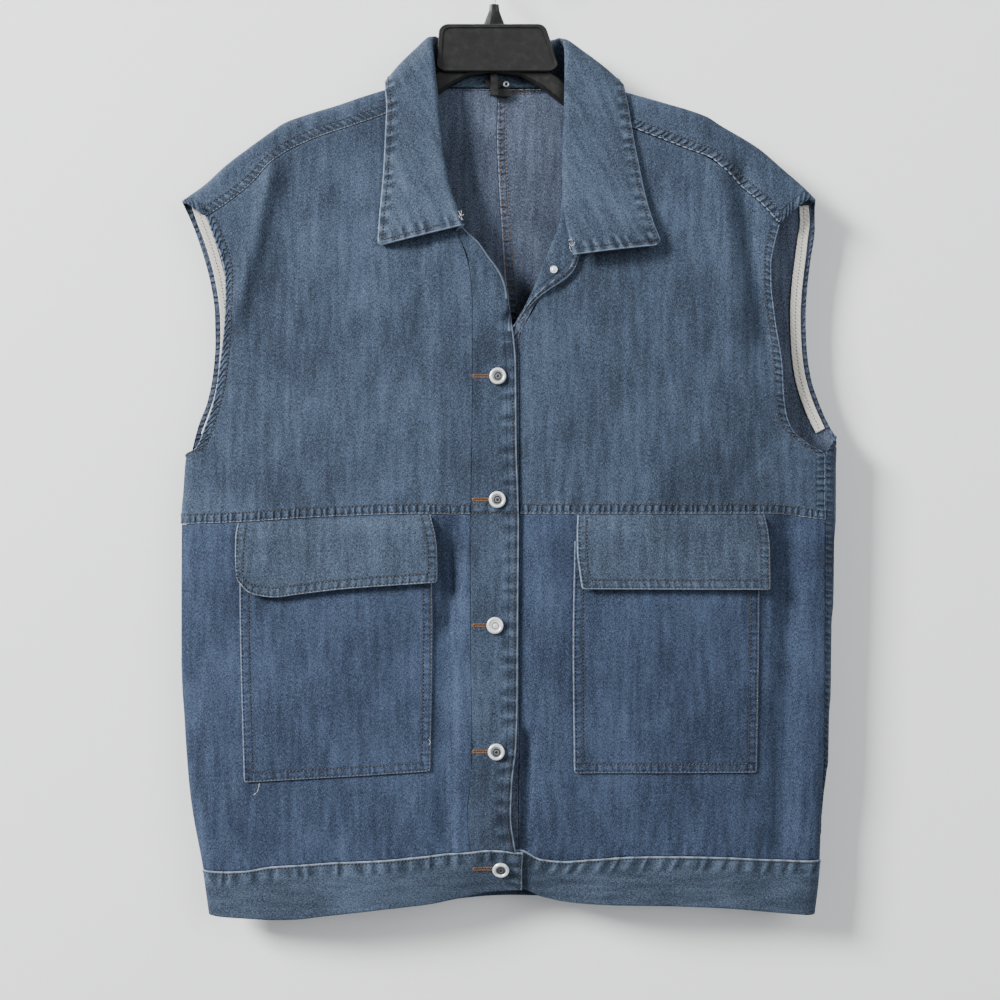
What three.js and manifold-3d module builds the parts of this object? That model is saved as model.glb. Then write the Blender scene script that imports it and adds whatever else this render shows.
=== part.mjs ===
// A sleeveless denim utility vest on a plastic hanger, in millimetres.
// +X is to the viewer's right, +Y goes to the back, +Z is up. The origin is where the hook's wire bears.
// Cloth lies as a front layer and a back layer round a flat body. A point of either layer is named by a flat
// place (x, z) and a side: past a side fold or past the shoulder ridge a flat place goes on onto the other side.
import * as THREE from "three";
import { mergeVertices } from "three/addons/utils/BufferGeometryUtils.js";
import Module from "manifold-3d";

const wasm = await Module();
wasm.setup();

const FRONT = -1;
const BACK = 1;
const LEFT = -1;
const RIGHT = 1;

// Cloth walls and the room between pieces.
const DENIM = 1.5;
const DOUBLE_DENIM = 2.2;
const TAPE = 1.0;
const SEAM_INSET = 0.16;
const JOIN_INSET = 0.55; // where two lines are cut at different places
const RIDGE_ROUND = 12;
const FOLD_ROUND = 14;
const LAYER_DEPTH = { [FRONT]: 9, [BACK]: 8.6 };
const STACK_RISE = 4.0; // how far the top placket's face stands over the under one
const STACK_REACH = 64; // the width over which the left front climbs to the top placket

// Fold lines at both sides, by height.
const SIDES = [
  { z: -246, left: -294.5, right: 303.5 },
  { z: -300, left: -294, right: 309 },
  { z: -360, left: -292.5, right: 314 },
  { z: -420, left: -290.8, right: 319 },
  { z: -471, left: -289.5, right: 322 },
  { z: -500, left: -291.5, right: 321.3 },
  { z: -545, left: -294.7, right: 321 },
  { z: -633, left: -295, right: 318.4 },
  { z: -677, left: -295, right: 317 },
  { z: -735, left: -292, right: 315.5 },
  { z: -779, left: -289, right: 313.5 },
  { z: -823, left: -284, right: 308 },
  { z: -861, left: -276, right: 306.5 },
  { z: -879, left: -273.5, right: 305.5 },
  { z: -897, left: -271, right: 303 },
  { z: -922, left: -267.5, right: 300 },
];

// The ridge of the shoulders, where the cloth turns over the hanger.
const RIDGE = [
  { x: -298, z: -250 },
  { x: -273, z: -233 },
  { x: -250.6, z: -212.8 },
  { x: -226.7, z: -194.9 },
  { x: -210, z: -182.8 },
  { x: -196.7, z: -173.8 },
  { x: -174, z: -165.6 },
  { x: -147, z: -157.4 },
  { x: -124.8, z: -149.8 },
  { x: -99.4, z: -142 },
  { x: -75, z: -135.5 },
  { x: -40, z: -131 },
  { x: 10, z: -130 },
  { x: 60, z: -131.5 },
  { x: 92, z: -137 },
  { x: 119.8, z: -144.2 },
  { x: 154, z: -153.6 },
  { x: 199, z: -167.8 },
  { x: 212, z: -176 },
  { x: 247.5, z: -197.5 },
  { x: 271, z: -217.5 },
  { x: 294.3, z: -238 },
  { x: 308, z: -252 },
];

// How far each layer swells past its depth at the folds, by height.
const SWELL = [
  { z: -130, front: 0.5, back: 0.4 },
  { z: -200, front: 3.5, back: 1 },
  { z: -290, front: 10, back: 2 },
  { z: -400, front: 15, back: 3.2 },
  { z: -545, front: 17, back: 4 },
  { z: -700, front: 17, back: 4.4 },
  { z: -850, front: 15, back: 4 },
  { z: -925, front: 13, back: 3.4 },
];

// Soft creases: a line from one place to another, its height (a trough is negative) and its half width.
const CREASES = [
  { side: FRONT, x0: -205, z0: -226, x1: -236, z1: -345, rise: 5.5, reach: 10 },
  { side: FRONT, x0: -184, z0: -232, x1: -206, z1: -360, rise: -4, reach: 13 },
  { side: FRONT, x0: 232, z0: -232, x1: 252, z1: -372, rise: -5.5, reach: 10 },
  { side: FRONT, x0: 212, z0: -222, x1: 226, z1: -380, rise: 3.5, reach: 13 },
  { side: FRONT, x0: -58, z0: -310, x1: -50, z1: -470, rise: 2.4, reach: 9 },
  { side: FRONT, x0: 76, z0: -800, x1: 118, z1: -858, rise: -3, reach: 9 },
  { side: FRONT, x0: 276, z0: -620, x1: 268, z1: -840, rise: -5, reach: 11 },
  { side: FRONT, x0: -236, z0: -806, x1: -178, z1: -852, rise: 2.6, reach: 12 },
  { side: FRONT, x0: -252, z0: -836, x1: -206, z1: -860, rise: -2.4, reach: 9 },
  { side: FRONT, x0: -36, z0: -560, x1: -40, z1: -640, rise: -3, reach: 10 },
  { side: BACK, x0: -190, z0: -240, x1: -216, z1: -420, rise: 3.2, reach: 14 },
  { side: BACK, x0: 196, z0: -236, x1: 226, z1: -410, rise: 3.2, reach: 14 },
  { side: BACK, x0: -120, z0: -470, x1: -96, z1: -800, rise: -2.6, reach: 18 },
  { side: BACK, x0: 128, z0: -500, x1: 112, z1: -820, rise: -2.8, reach: 18 },
];
// The hem tucks in under the middle of the front, so the waistband leans back there.
const TUCK = { x: 10, z: -853, reach: 70, slope: 0.42 };

// Seam lines on the front: the forward shoulder seams.
const SHOULDER_LEFT = [
  { x: -268.9, z: -264 },
  { x: -242.9, z: -247 },
  { x: -219, z: -226 },
  { x: -204, z: -210 },
  { x: -176, z: -194.3 },
  { x: -153.7, z: -186 },
  { x: -131, z: -178.6 },
  { x: -106, z: -169.7 },
  { x: -81, z: -160 },
];
const SHOULDER_RIGHT = [
  { x: 266.5, z: -271.5 },
  { x: 247.4, z: -250 },
  { x: 231.9, z: -236 },
  { x: 210.3, z: -217 },
  { x: 197.8, z: -208 },
  { x: 179.3, z: -201 },
  { x: 160.7, z: -193.6 },
  { x: 133.6, z: -183.3 },
  { x: 99, z: -168 },
];
// Armhole edges, from the side seam up.
const ARMHOLE_FRONT_LEFT = [
  { x: -294, z: -489 },
  { x: -284, z: -487 },
  { x: -274, z: -468.8 },
  { x: -261.6, z: -435.4 },
  { x: -255.4, z: -396.5 },
  { x: -251.1, z: -355.7 },
  { x: -251.1, z: -320.3 },
  { x: -254.6, z: -302.5 },
  { x: -261.6, z: -284.4 },
  { x: -268.9, z: -264 },
];
const ARMHOLE_FRONT_RIGHT = [
  { x: 307.5, z: -487.5 },
  { x: 298.8, z: -479.7 },
  { x: 286.4, z: -470.9 },
  { x: 276.6, z: -460.3 },
  { x: 271, z: -441 },
  { x: 268.3, z: -399.9 },
  { x: 261.5, z: -355.7 },
  { x: 258, z: -314 },
  { x: 261.5, z: -290 },
  { x: 266.5, z: -271.5 },
];
const ARMHOLE_BACK_LEFT = [
  { x: -286, z: -488 },
  { x: -284.5, z: -472 },
  { x: -276, z: -450 },
  { x: -268.2, z: -424.4 },
  { x: -264, z: -388 },
  { x: -263.8, z: -355.6 },
  { x: -268.9, z: -319.4 },
  { x: -280, z: -281.4 },
  { x: -290.5, z: -255 },
  { x: -293.8, z: -246.4 },
];
const ARMHOLE_BACK_RIGHT = [
  { x: 321.9, z: -471.5 },
  { x: 319.5, z: -463 },
  { x: 307.2, z: -436.9 },
  { x: 298, z: -406 },
  { x: 294.5, z: -360.8 },
  { x: 295.5, z: -333.6 },
  { x: 300.9, z: -286.4 },
  { x: 303.8, z: -262 },
  { x: 302.3, z: -245.5 },
];
// The neck seam from the placket or lapel up to the shoulder seam.
const NECK_LEFT = [
  { x: -33, z: -283 },
  { x: -44, z: -258 },
  { x: -58, z: -229 },
  { x: -71, z: -192 },
  { x: -81, z: -160 },
];
const NECK_RIGHT = [
  { x: 70.5, z: -270 },
  { x: 78, z: -254 },
  { x: 87, z: -229 },
  { x: 94, z: -198 },
  { x: 99, z: -168 },
];
// The joins of the fronts with the plackets, from the waistband up.
const PLACKET_SEAM_LEFT = [
  { x: -21.5, z: -852 },
  { x: -24.5, z: -816 },
  { x: -20, z: -770 },
  { x: -21.3, z: -656 },
  { x: -21.3, z: -548 },
  { x: -20, z: -430 },
  { x: -20.1, z: -345 },
  { x: -24, z: -305 },
  { x: -33, z: -283 },
];
const PLACKET_SEAM_RIGHT = [
  { x: 23.4, z: -852 },
  { x: 23.4, z: -700 },
  { x: 23.4, z: -541 },
  { x: 23.4, z: -380 },
  { x: 37, z: -352 },
  { x: 50, z: -326 },
  { x: 61, z: -296 },
  { x: 70.5, z: -270 },
];
const WAIST_Z = [
  { x: -296, z: -551 },
  { x: -240, z: -549 },
  { x: -160, z: -544 },
  { x: -60, z: -541 },
  { x: 60, z: -541 },
  { x: 255, z: -541 },
  { x: 309, z: -547 },
];
// The waistband's top seam and its hem, on the front and on the back.
const BAND_FRONT_LEFT = [
  { x: -280, top: -874, hem: -907 },
  { x: -246, top: -874.5, hem: -914.5 },
  { x: -206, top: -868.8, hem: -919 },
  { x: -154, top: -864.2, hem: -913.5 },
  { x: -103, top: -861.5, hem: -908 },
  { x: -62, top: -857, hem: -904 },
  { x: -31, top: -853.5, hem: -897.5 },
  { x: 0, top: -851.6, hem: -892.4 },
  { x: 26, top: -854, hem: -891 },
];
const BAND_FRONT_RIGHT = [
  { x: -22, top: -854, hem: -893 },
  { x: 23.4, top: -852, hem: -892 },
  { x: 40, top: -860, hem: -898 },
  { x: 57, top: -862.8, hem: -902 },
  { x: 88, top: -860.7, hem: -903.8 },
  { x: 149, top: -857.8, hem: -904.4 },
  { x: 211, top: -859.3, hem: -905.4 },
  { x: 272, top: -863.4, hem: -909.8 },
  { x: 307, top: -865, hem: -911 },
];
const BAND_BACK = [
  { x: -280, top: -874, hem: -907 },
  { x: -150, top: -872, hem: -916 },
  { x: 14, top: -869, hem: -913 },
  { x: 160, top: -867, hem: -914 },
  { x: 307, top: -865, hem: -911 },
];
const CENTRE_BACK = [
  { x: 16, z: -869 },
  { x: 16, z: -600 },
  { x: 15, z: -400 },
  { x: 9.2, z: -300 },
  { x: 5.4, z: -249 },
  { x: 0.8, z: -139.6 },
];
// The back's neck seam, from the centre to the forward shoulder seam; z past the ridge is on the front.
const NECK_BACK_LEFT = [
  { x: 0.8, z: -139.6 },
  { x: -35, z: -139.2 },
  { x: -60, z: -138.6 },
  { x: -76, z: -136 },
  { x: -81, z: -113.2 },
];
const NECK_BACK_RIGHT = [
  { x: 0.8, z: -139.6 },
  { x: 48, z: -139.4 },
  { x: 75, z: -139.2 },
  { x: 93, z: -137.4 },
  { x: 99, z: -109.8 },
];

// The rolled and turned edges at the neck. The top placket's face is as wide as `edge` shows, the rest rolls in.
const PLACKET = { width: 44, roll: 3.6 };
const PLACKET_EDGE = [
  { z: -854, x: 20.5 },
  { z: -816, x: 16 },
  { z: -774, x: 18.3 },
  { z: -735, x: 22 },
  { z: -656, x: 22.6 },
  { z: -548, x: 23.4 },
  { z: -482, x: 21.4 },
  { z: -400, x: 20.6 },
  { z: -376, x: 18.6 },
  { z: -355, x: 15.6 },
  { z: -333, x: 12.5 },
  { z: -319, x: 7.8 },
  { z: -304, x: -2.7 },
  { z: -288, x: -14.3 },
  { z: -281, x: -22.5 },
];
// The under placket: its join, the line it folds on and its free edge. Below the lapel the fold is the edge.
const UNDER_ROWS = [
  { seam: -852, xf: -19, zf: -852, xe: -19, ze: -852 },
  { seam: -790, xf: -19, zf: -790, xe: -19, ze: -790 },
  { seam: -730, xf: -19, zf: -730, xe: -19, ze: -730 },
  { seam: -670, xf: -19, zf: -670, xe: -19, ze: -670 },
  { seam: -610, xf: -19, zf: -610, xe: -19, ze: -610 },
  { seam: -550, xf: -19, zf: -550, xe: -19, ze: -550 },
  { seam: -490, xf: -19, zf: -490, xe: -19, ze: -490 },
  { seam: -436, xf: -18, zf: -436, xe: -18, ze: -436 },
  { seam: -404, xf: -6, zf: -408, xe: -6, ze: -408 },
  { seam: -378, xf: 10, zf: -380, xe: 10, ze: -380 },
];
const LAPEL_ROWS = [
  { x: 26.5, z: -370, xf: 19, zf: -365.5, xe: 25, ze: -361 },
  { x: 34, z: -355, xf: 28, zf: -349, xe: 36, ze: -346 },
  { x: 45, z: -333, xf: 37.5, zf: -329.5, xe: 50, ze: -334.5 },
  { x: 54.5, z: -310, xf: 46, zf: -308, xe: 61, ze: -327.5 },
  { x: 62.4, z: -289, xf: 54, zf: -288, xe: 70.5, ze: -320.5 },
  { x: 69, z: -270, xf: 61, zf: -268.5, xe: 75, ze: -314 },
];

// The collar's sections from its left end round the back to its right end: the neck seam (n), the roll (r) and
// the outer edge (e), the way each section faces (0 front, 90 over the shoulder, 180 back), the roll's rise and
// what lies under its seam.
const COLLAR = [
  { xn: -34, zn: -279.5, xr: -27, zr: -275, xe: -108.5, ze: -294, turn: 0, rise: 7, bulk: 0 },
  { xn: -41, zn: -261, xr: -33.5, zr: -258, xe: -106.8, ze: -266, turn: 0, rise: 7, bulk: 0 },
  { xn: -56, zn: -229, xr: -42.3, zr: -227, xe: -103.5, ze: -226, turn: 0, rise: 7.5, bulk: 0 },
  { xn: -69, zn: -192, xr: -47.3, zr: -190, xe: -101.8, ze: -190, turn: 0, rise: 8, bulk: 0 },
  { xn: -77, zn: -169, xr: -51.5, zr: -154, xe: -100.5, ze: -163, turn: 4, rise: 9, bulk: 1.5 },
  { xn: -77.5, zn: -153, xr: -53.6, zr: -121, xe: -100.4, ze: -150.5, turn: 22, rise: 11.5, bulk: 5 },
  { xn: -74.5, zn: -140.5, xr: -54.8, zr: -101, xe: -100.5, ze: -140.6, turn: 60, rise: 9, bulk: 2.4 },
  { xn: -69, zn: -135.2, xr: -52, zr: -95, xe: -97, ze: -136.5, turn: 110, rise: 8, bulk: 2.1 },
  { xn: -58, zn: -137.2, xr: -44, zr: -93, xe: -83, ze: -150, turn: 158, rise: 8, bulk: 1.4 },
  { xn: -34, zn: -138.1, xr: -24, zr: -92, xe: -50, ze: -163, turn: 178, rise: 8, bulk: 0 },
  { xn: 4.5, zn: -138.6, xr: 3, zr: -92, xe: 4, ze: -166, turn: 180, rise: 8, bulk: 0 },
  { xn: 46, zn: -138.3, xr: 32, zr: -92.5, xe: 62, ze: -163, turn: 178, rise: 8, bulk: 0 },
  { xn: 72, zn: -137.4, xr: 49, zr: -94, xe: 97, ze: -154, turn: 158, rise: 8, bulk: 3.2 },
  { xn: 87, zn: -135.2, xr: 57, zr: -97, xe: 111, ze: -137.5, turn: 110, rise: 8, bulk: 3.4 },
  { xn: 91, zn: -141, xr: 61.5, zr: -104, xe: 118.5, ze: -142.4, turn: 60, rise: 9, bulk: 3.6 },
  { xn: 94.5, zn: -155, xr: 64, zr: -122, xe: 123.5, ze: -158, turn: 22, rise: 11, bulk: 3 },
  { xn: 96, zn: -177, xr: 64.8, zr: -160, xe: 130, ze: -191, turn: 4, rise: 9, bulk: 1 },
  { xn: 91.5, zn: -203, xr: 63, zr: -205, xe: 136, ze: -222, turn: 0, rise: 8, bulk: 0 },
  { xn: 84, zn: -232, xr: 62.8, zr: -240, xe: 141, ze: -247, turn: 0, rise: 8, bulk: 0 },
  { xn: 78, zn: -262, xr: 65, zr: -268, xe: 147.5, ze: -271, turn: 0, rise: 11.5, bulk: 7 },
  { xn: 80, zn: -288, xr: 69.8, zr: -290, xe: 154, ze: -289, turn: 0, rise: 13, bulk: 8 },
  { xn: 81, zn: -300, xr: 72.4, zr: -303.5, xe: 153, ze: -293.5, turn: 0, rise: 13, bulk: 8 },
];

// Pockets and flaps by their corners, each side a row: outline points from the top left, going round clockwise.
const POCKETS = {
  left: {
    left: [{ x: -236, z: -566 }, { x: -235.5, z: -656 }, { x: -232, z: -790.5 }],
    right: [{ x: -58.5, z: -566 }, { x: -57.6, z: -656 }, { x: -59.4, z: -778.5 }],
  },
  right: {
    left: [{ x: 74.2, z: -566 }, { x: 72.3, z: -656 }, { x: 73.6, z: -780 }],
    right: [{ x: 246, z: -566 }, { x: 245.4, z: -656 }, { x: 243.6, z: -781 }],
  },
};
const FLAPS = {
  left: {
    left: [{ x: -238, z: -551.5 }, { x: -238.6, z: -572 }, { x: -236.2, z: -600 }],
    right: [{ x: -58.6, z: -545.5 }, { x: -55.4, z: -572 }, { x: -55.6, z: -603.8 }],
    bottom: [{ x: -236.2, z: -600 }, { x: -226, z: -610.5 }, { x: -214.5, z: -618.4 }, { x: -197, z: -617.2 },
      { x: -140, z: -610.2 }, { x: -55.6, z: -603.8 }],
  },
  right: {
    left: [{ x: 77, z: -543.5 }, { x: 75.8, z: -572 }, { x: 80, z: -610 }],
    right: [{ x: 251, z: -544.5 }, { x: 253.6, z: -572 }, { x: 253.6, z: -611 }],
    bottom: [{ x: 80, z: -610 }, { x: 130, z: -610.2 }, { x: 190, z: -610.4 }, { x: 253.6, z: -611 }],
  },
};
const BUTTONS = [
  { name: "button_1", x: 3.7, z: -413.9 },
  { name: "button_2", x: 3.2, z: -527.8 },
  { name: "button_3", x: 1, z: -643.7 },
  { name: "button_4", x: 2.3, z: -760.2 },
  { name: "button_5", x: 6.4, z: -868.5 },
];
const BUTTON = { radius: 7.8, thick: 3.2, sides: 16 };
const LAPEL_RIVET = { x: 55.2, z: -315.5, radius: 3.4, thick: 1.4 };

// The hanger: one moulded body, a plate on its front and a wire hook.
const HANGER = { half: 5, round: 4.2, reach: 212, height: 27 };
const PLATE = { top: -83.5, bottom: -127.8, leftTop: 52, left: 54.5, rightTop: 50, right: 60.5, round: 9,
  thick: 4.6, rim: 3.4, recess: 1.2 };
const HOOK = { wire: 3.4, radius: 22, sides: 10, steps: 34 };

const DENIM_BLUE = new THREE.MeshStandardMaterial({ color: 0x52647f, roughness: 0.92 });
const DENIM_PALE = new THREE.MeshStandardMaterial({ color: 0x5c6c82, roughness: 0.92 });
const TAPE_WHITE = new THREE.MeshStandardMaterial({ color: 0xe4e2dc, roughness: 0.85 });
const NICKEL = new THREE.MeshStandardMaterial({ color: 0xd9dbde, roughness: 0.3, metalness: 1 });
const BLACK_PLASTIC = new THREE.MeshStandardMaterial({ color: 0x1b1b1c, roughness: 0.45 });
const STEEL = new THREE.MeshStandardMaterial({ color: 0xb9bcc0, roughness: 0.25, metalness: 1 });

const clamp = (v, low, high) => Math.min(Math.max(v, low), high);
const mix = (a, b, f) => a + (b - a) * f;
const smooth = (f) => {
  const t = clamp(f, 0, 1);
  return t * t * (3 - 2 * t);
};

// Reads column `of` of a table at the value `at` of its column `by`, on a smooth curve that never overshoots.
function read(table, by, at, of) {
  const rows = table[0][by] <= table.at(-1)[by] ? table : [...table].reverse();
  const n = rows.length;
  const t = clamp(at, rows[0][by], rows[n - 1][by]);
  let k = 0;
  while (k < n - 2 && rows[k + 1][by] < t) k += 1;
  const slope = (i) => (rows[i + 1][of] - rows[i][of]) / (rows[i + 1][by] - rows[i][by]);
  const tangent = (i) => {
    if (i === 0) return slope(0);
    if (i === n - 1) return slope(n - 2);
    const [a, b] = [slope(i - 1), slope(i)];
    return a * b <= 0 ? 0 : (2 * a * b) / (a + b);
  };
  const h = rows[k + 1][by] - rows[k][by];
  const f = (t - rows[k][by]) / h;
  const [f2, f3] = [f * f, f * f * f];
  return (2 * f3 - 3 * f2 + 1) * rows[k][of] + (f3 - 2 * f2 + f) * h * tangent(k)
    + (3 * f2 - 2 * f3) * rows[k + 1][of] + (f3 - f2) * h * tangent(k + 1);
}

// A smooth curve through a table's flat places, cut at the given shares of its length.
function along(table, shares) {
  const line = new THREE.CatmullRomCurve3(table.map((p) => new THREE.Vector3(p.x, 0, p.z)), false, "centripetal");
  line.arcLengthDivisions = 400;
  return shares.map((f) => {
    const p = line.getPointAt(clamp(f, 0, 1));
    return { x: p.x, z: p.z };
  });
}
const even = (count) => Array.from({ length: count + 1 }, (_, i) => i / count);

// A quarter ellipse: how full a layer is at a distance from its fold.
function fullness(distance, round) {
  const f = clamp(distance / round, 0, 1);
  return Math.sqrt(1 - (1 - f) ** 2);
}

function creaseRise(side, x, z) {
  let rise = 0;
  for (const c of CREASES) {
    if (c.side !== side) continue;
    const [dx, dz] = [c.x1 - c.x0, c.z1 - c.z0];
    const length = Math.hypot(dx, dz);
    const f = ((x - c.x0) * dx + (z - c.z0) * dz) / length ** 2;
    const off = Math.hypot(x - mix(c.x0, c.x1, clamp(f, 0, 1)), (z - mix(c.z0, c.z1, clamp(f, 0, 1))) * 0.6);
    rise += c.rise * Math.exp(-((off / c.reach) ** 2));
  }
  return rise;
}

// How far the layer on a side stands from the middle plane, folds apart.
function depthOf(side, x, z) {
  const [left, right] = [read(SIDES, "z", z, "left"), read(SIDES, "z", z, "right")];
  const across = Math.abs(x - (left + right) / 2) / ((right - left) / 2);
  const swell = read(SWELL, "z", z, side === FRONT ? "front" : "back");
  const tuck = side === FRONT && z < TUCK.z
    ? TUCK.slope * (TUCK.z - z) * Math.exp(-(((x - TUCK.x) / TUCK.reach) ** 2)) : 0;
  return LAYER_DEPTH[side] + swell * (1 - Math.min(across, 1) ** 2.6) + creaseRise(side, x, z) - tuck;
}

// The solid place of a flat place on a side; what passes a fold goes on onto the other side.
function place(x, z, side) {
  let s = side;
  let [px, pz] = [x, z];
  const ridge = read(RIDGE, "x", px, "z");
  if (pz > ridge) {
    pz = 2 * ridge - pz;
    s = -s;
  }
  const [left, right] = [read(SIDES, "z", pz, "left"), read(SIDES, "z", pz, "right")];
  if (px < left) {
    px = 2 * left - px;
    s = -s;
  } else if (px > right) {
    px = 2 * right - px;
    s = -s;
  }
  const full = fullness(Math.min(px - left, right - px), FOLD_ROUND) * fullness(ridge - pz, RIDGE_ROUND);
  return new THREE.Vector3(px, s * depthOf(s, px, pz) * full, pz);
}

const STEP = 1.2;
// The outward normal of a flat place.
function outward(x, z, side) {
  const du = place(x + STEP, z, side).sub(place(x - STEP, z, side));
  const dv = place(x, z + STEP, side).sub(place(x, z - STEP, side));
  return du.cross(dv).normalize().multiplyScalar(side === FRONT ? 1 : -1);
}

// A patch of flat places between four edge lines, each a list of places.
function patch(bottom, top, left, right) {
  const shares = (line) => {
    const run = [0];
    for (let i = 1; i < line.length; i += 1) {
      run.push(run[i - 1] + Math.hypot(line[i].x - line[i - 1].x, line[i].z - line[i - 1].z));
    }
    return run.map((v) => v / run.at(-1));
  };
  const [ub, ut, vl, vr] = [bottom, top, left, right].map(shares);
  return left.map((l, j) => bottom.map((b, i) => {
    const v = mix(vl[j], vr[j], (ub[i] + ut[i]) / 2);
    const u = mix(ub[i], ut[i], v);
    const at = (k) => (1 - v) * b[k] + v * top[i][k] + (1 - u) * l[k] + u * right[j][k]
      - (1 - u) * (1 - v) * bottom[0][k] - u * (1 - v) * bottom.at(-1)[k]
      - (1 - u) * v * top[0][k] - u * v * top.at(-1)[k];
    return { x: at("x"), z: at("z") };
  }));
}

// Draws a grid's outer rows and columns in, so that neighbours keep their gap.
function inset(rows, by = SEAM_INSET) {
  const pull = (p, q) => p.addScaledVector(q.clone().sub(p).normalize(), by);
  const n = rows[0].length;
  for (let i = 0; i < n; i += 1) {
    pull(rows[0][i], rows[1][i]);
    pull(rows.at(-1)[i], rows.at(-2)[i]);
  }
  for (const row of rows) {
    pull(row[0], row[1]);
    pull(row[n - 1], row[n - 2]);
  }
  return rows;
}

// The normals of a grid from its own neighbours, turned to agree with a known outward direction at one place.
function gridNormals(rows, hint, at = [Math.floor(rows.length / 2), Math.floor(rows[0].length / 2)]) {
  const normals = rows.map((row, j) => row.map((_, i) => {
    const u = row[Math.min(i + 1, row.length - 1)].clone().sub(row[Math.max(i - 1, 0)]);
    const v = rows[Math.min(j + 1, rows.length - 1)][i].clone().sub(rows[Math.max(j - 1, 0)][i]);
    return u.cross(v).normalize();
  }));
  const turned = normals[at[0]][at[1]].dot(hint) < 0 ? -1 : 1;
  return normals.map((row) => row.map((n) => n.multiplyScalar(turned)));
}

// A closed wall: a grid of outer points and the same grid moved in along the normals.
function wall(outer, normals, thick) {
  const inner = outer.map((row, j) => row.map((p, i) => p.clone().addScaledVector(normals[j][i], -thick)));
  const [h, w] = [outer.length, outer[0].length];
  const points = [...outer.flat(), ...inner.flat()];
  const id = (layer, j, i) => layer * h * w + j * w + i;
  const faces = [];
  const quad = (a, b, c, d) => faces.push(a, b, c, a, c, d);
  for (let j = 0; j < h - 1; j += 1) {
    for (let i = 0; i < w - 1; i += 1) {
      quad(id(0, j, i), id(0, j, i + 1), id(0, j + 1, i + 1), id(0, j + 1, i));
      quad(id(1, j, i), id(1, j + 1, i), id(1, j + 1, i + 1), id(1, j, i + 1));
    }
  }
  for (let i = 0; i < w - 1; i += 1) {
    quad(id(0, 0, i), id(1, 0, i), id(1, 0, i + 1), id(0, 0, i + 1));
    quad(id(0, h - 1, i + 1), id(1, h - 1, i + 1), id(1, h - 1, i), id(0, h - 1, i));
  }
  for (let j = 0; j < h - 1; j += 1) {
    quad(id(0, j + 1, 0), id(1, j + 1, 0), id(1, j, 0), id(0, j, 0));
    quad(id(0, j, w - 1), id(1, j, w - 1), id(1, j + 1, w - 1), id(0, j + 1, w - 1));
  }
  return closed(points, faces);
}

// A geometry from points and faces, with its faces turned out.
function closed(points, faces) {
  let volume = 0;
  for (let k = 0; k < faces.length; k += 3) {
    const [a, b, c] = [points[faces[k]], points[faces[k + 1]], points[faces[k + 2]]];
    volume += a.dot(b.clone().cross(c));
  }
  const index = volume < 0 ? faces.map((_, k) => faces[k - (k % 3) + (2 - (k % 3))]) : faces;
  const geometry = new THREE.BufferGeometry().setFromPoints(points);
  geometry.setIndex(index);
  geometry.computeVertexNormals();
  return geometry;
}

// How far the left front climbs over the under placket as it nears its join.
const climb = (x, z) => STACK_RISE * smooth((x + 22 + STACK_REACH) / STACK_REACH) * smooth((-180 - z) / 90);

// The front faces' lift at a place: only the left half climbs.
const lay = (x, z) => (x < 0 ? climb(x, z) : 0);

// A panel's wall from its patch of flat places; `rise` lifts its face.
function panel(places, side, rise = () => 0, thick = DENIM) {
  const normals = places.map((row) => row.map((p) => outward(p.x, p.z, side)));
  const outer = places.map((row, j) => row.map((p, i) => (
    place(p.x, p.z, side).addScaledVector(normals[j][i], rise(p.x, p.z)))));
  return wall(inset(outer), normals, thick);
}

const vest = new THREE.Group();
function add(name, geometry, material) {
  const mesh = new THREE.Mesh(geometry, material);
  mesh.name = name;
  vest.add(mesh);
  return mesh;
}

// Shares of a seam where the shoulder, waist and band lines are cut, closer near the fold.
const NEAR_LEFT = [0, 0.012, 0.022, 0.04, 0.066, 0.1];
const NEAR_RIGHT = [0, 0.03, 0.066, 0.11];
const stops = (near, count) => [...near, ...even(count).slice(1).map((f) => mix(near.at(-1), 1, f))];
const LEFT_STOPS = stops(NEAR_LEFT, 11);
const RIGHT_STOPS = stops(NEAR_RIGHT, 12);
const LOWER_ROWS = even(9);
const FLANK_ROWS = even(2);
const SEAM_BACK = 4; // the left side seam lies this far round behind the fold
const seamRight = (z) => mix(309.4, 306.2, smooth((-740 - z) / 110));
const foldLeft = (z) => read(SIDES, "z", z, "left");
const foldRight = (z) => read(SIDES, "z", z, "right");

// A level line from x0 to x1 whose height is read from a table.
const level = (x0, x1, shares, table, of) => shares.map((f) => {
  const x = mix(x0, x1, f);
  return { x, z: read(table, "x", x, of) };
});
const rowsDown = (xAt, z0, z1, shares) => shares.map((f) => {
  const z = mix(z0, z1, f);
  return { x: xAt(z), z };
});
const from = (table, zStart) => table.slice(table.findIndex((p) => p.z >= zStart));

const WAIST_LEFT_END = -551;
const WAIST_RIGHT_END = -547;
const BAND_LEFT_END = -874;
const BAND_RIGHT_END = -865;

// The front's left half: outer lines from the waistband's seam up, and inner lines at the placket.
const leftSeam = (z) => foldLeft(z) - SEAM_BACK;
const bandLeft = level(leftSeam(BAND_LEFT_END), PLACKET_SEAM_LEFT[0].x, LEFT_STOPS, BAND_FRONT_LEFT, "top");
const waistLeft = level(leftSeam(WAIST_LEFT_END), -21.3, LEFT_STOPS, WAIST_Z, "z");
const shoulderLeft = along(SHOULDER_LEFT, LEFT_STOPS);
const lowerInLeft = rowsDown((z) => read(PLACKET_SEAM_LEFT, "z", z, "x"), bandLeft.at(-1).z, waistLeft.at(-1).z,
  LOWER_ROWS);
const lowerOutLeft = rowsDown(leftSeam, bandLeft[0].z, waistLeft[0].z, LOWER_ROWS);
const flankLeft = rowsDown(leftSeam, waistLeft[0].z, ARMHOLE_FRONT_LEFT[0].z, FLANK_ROWS);
const ARM_ROWS = 12;
const PLACKET_ROWS = 8;
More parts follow.
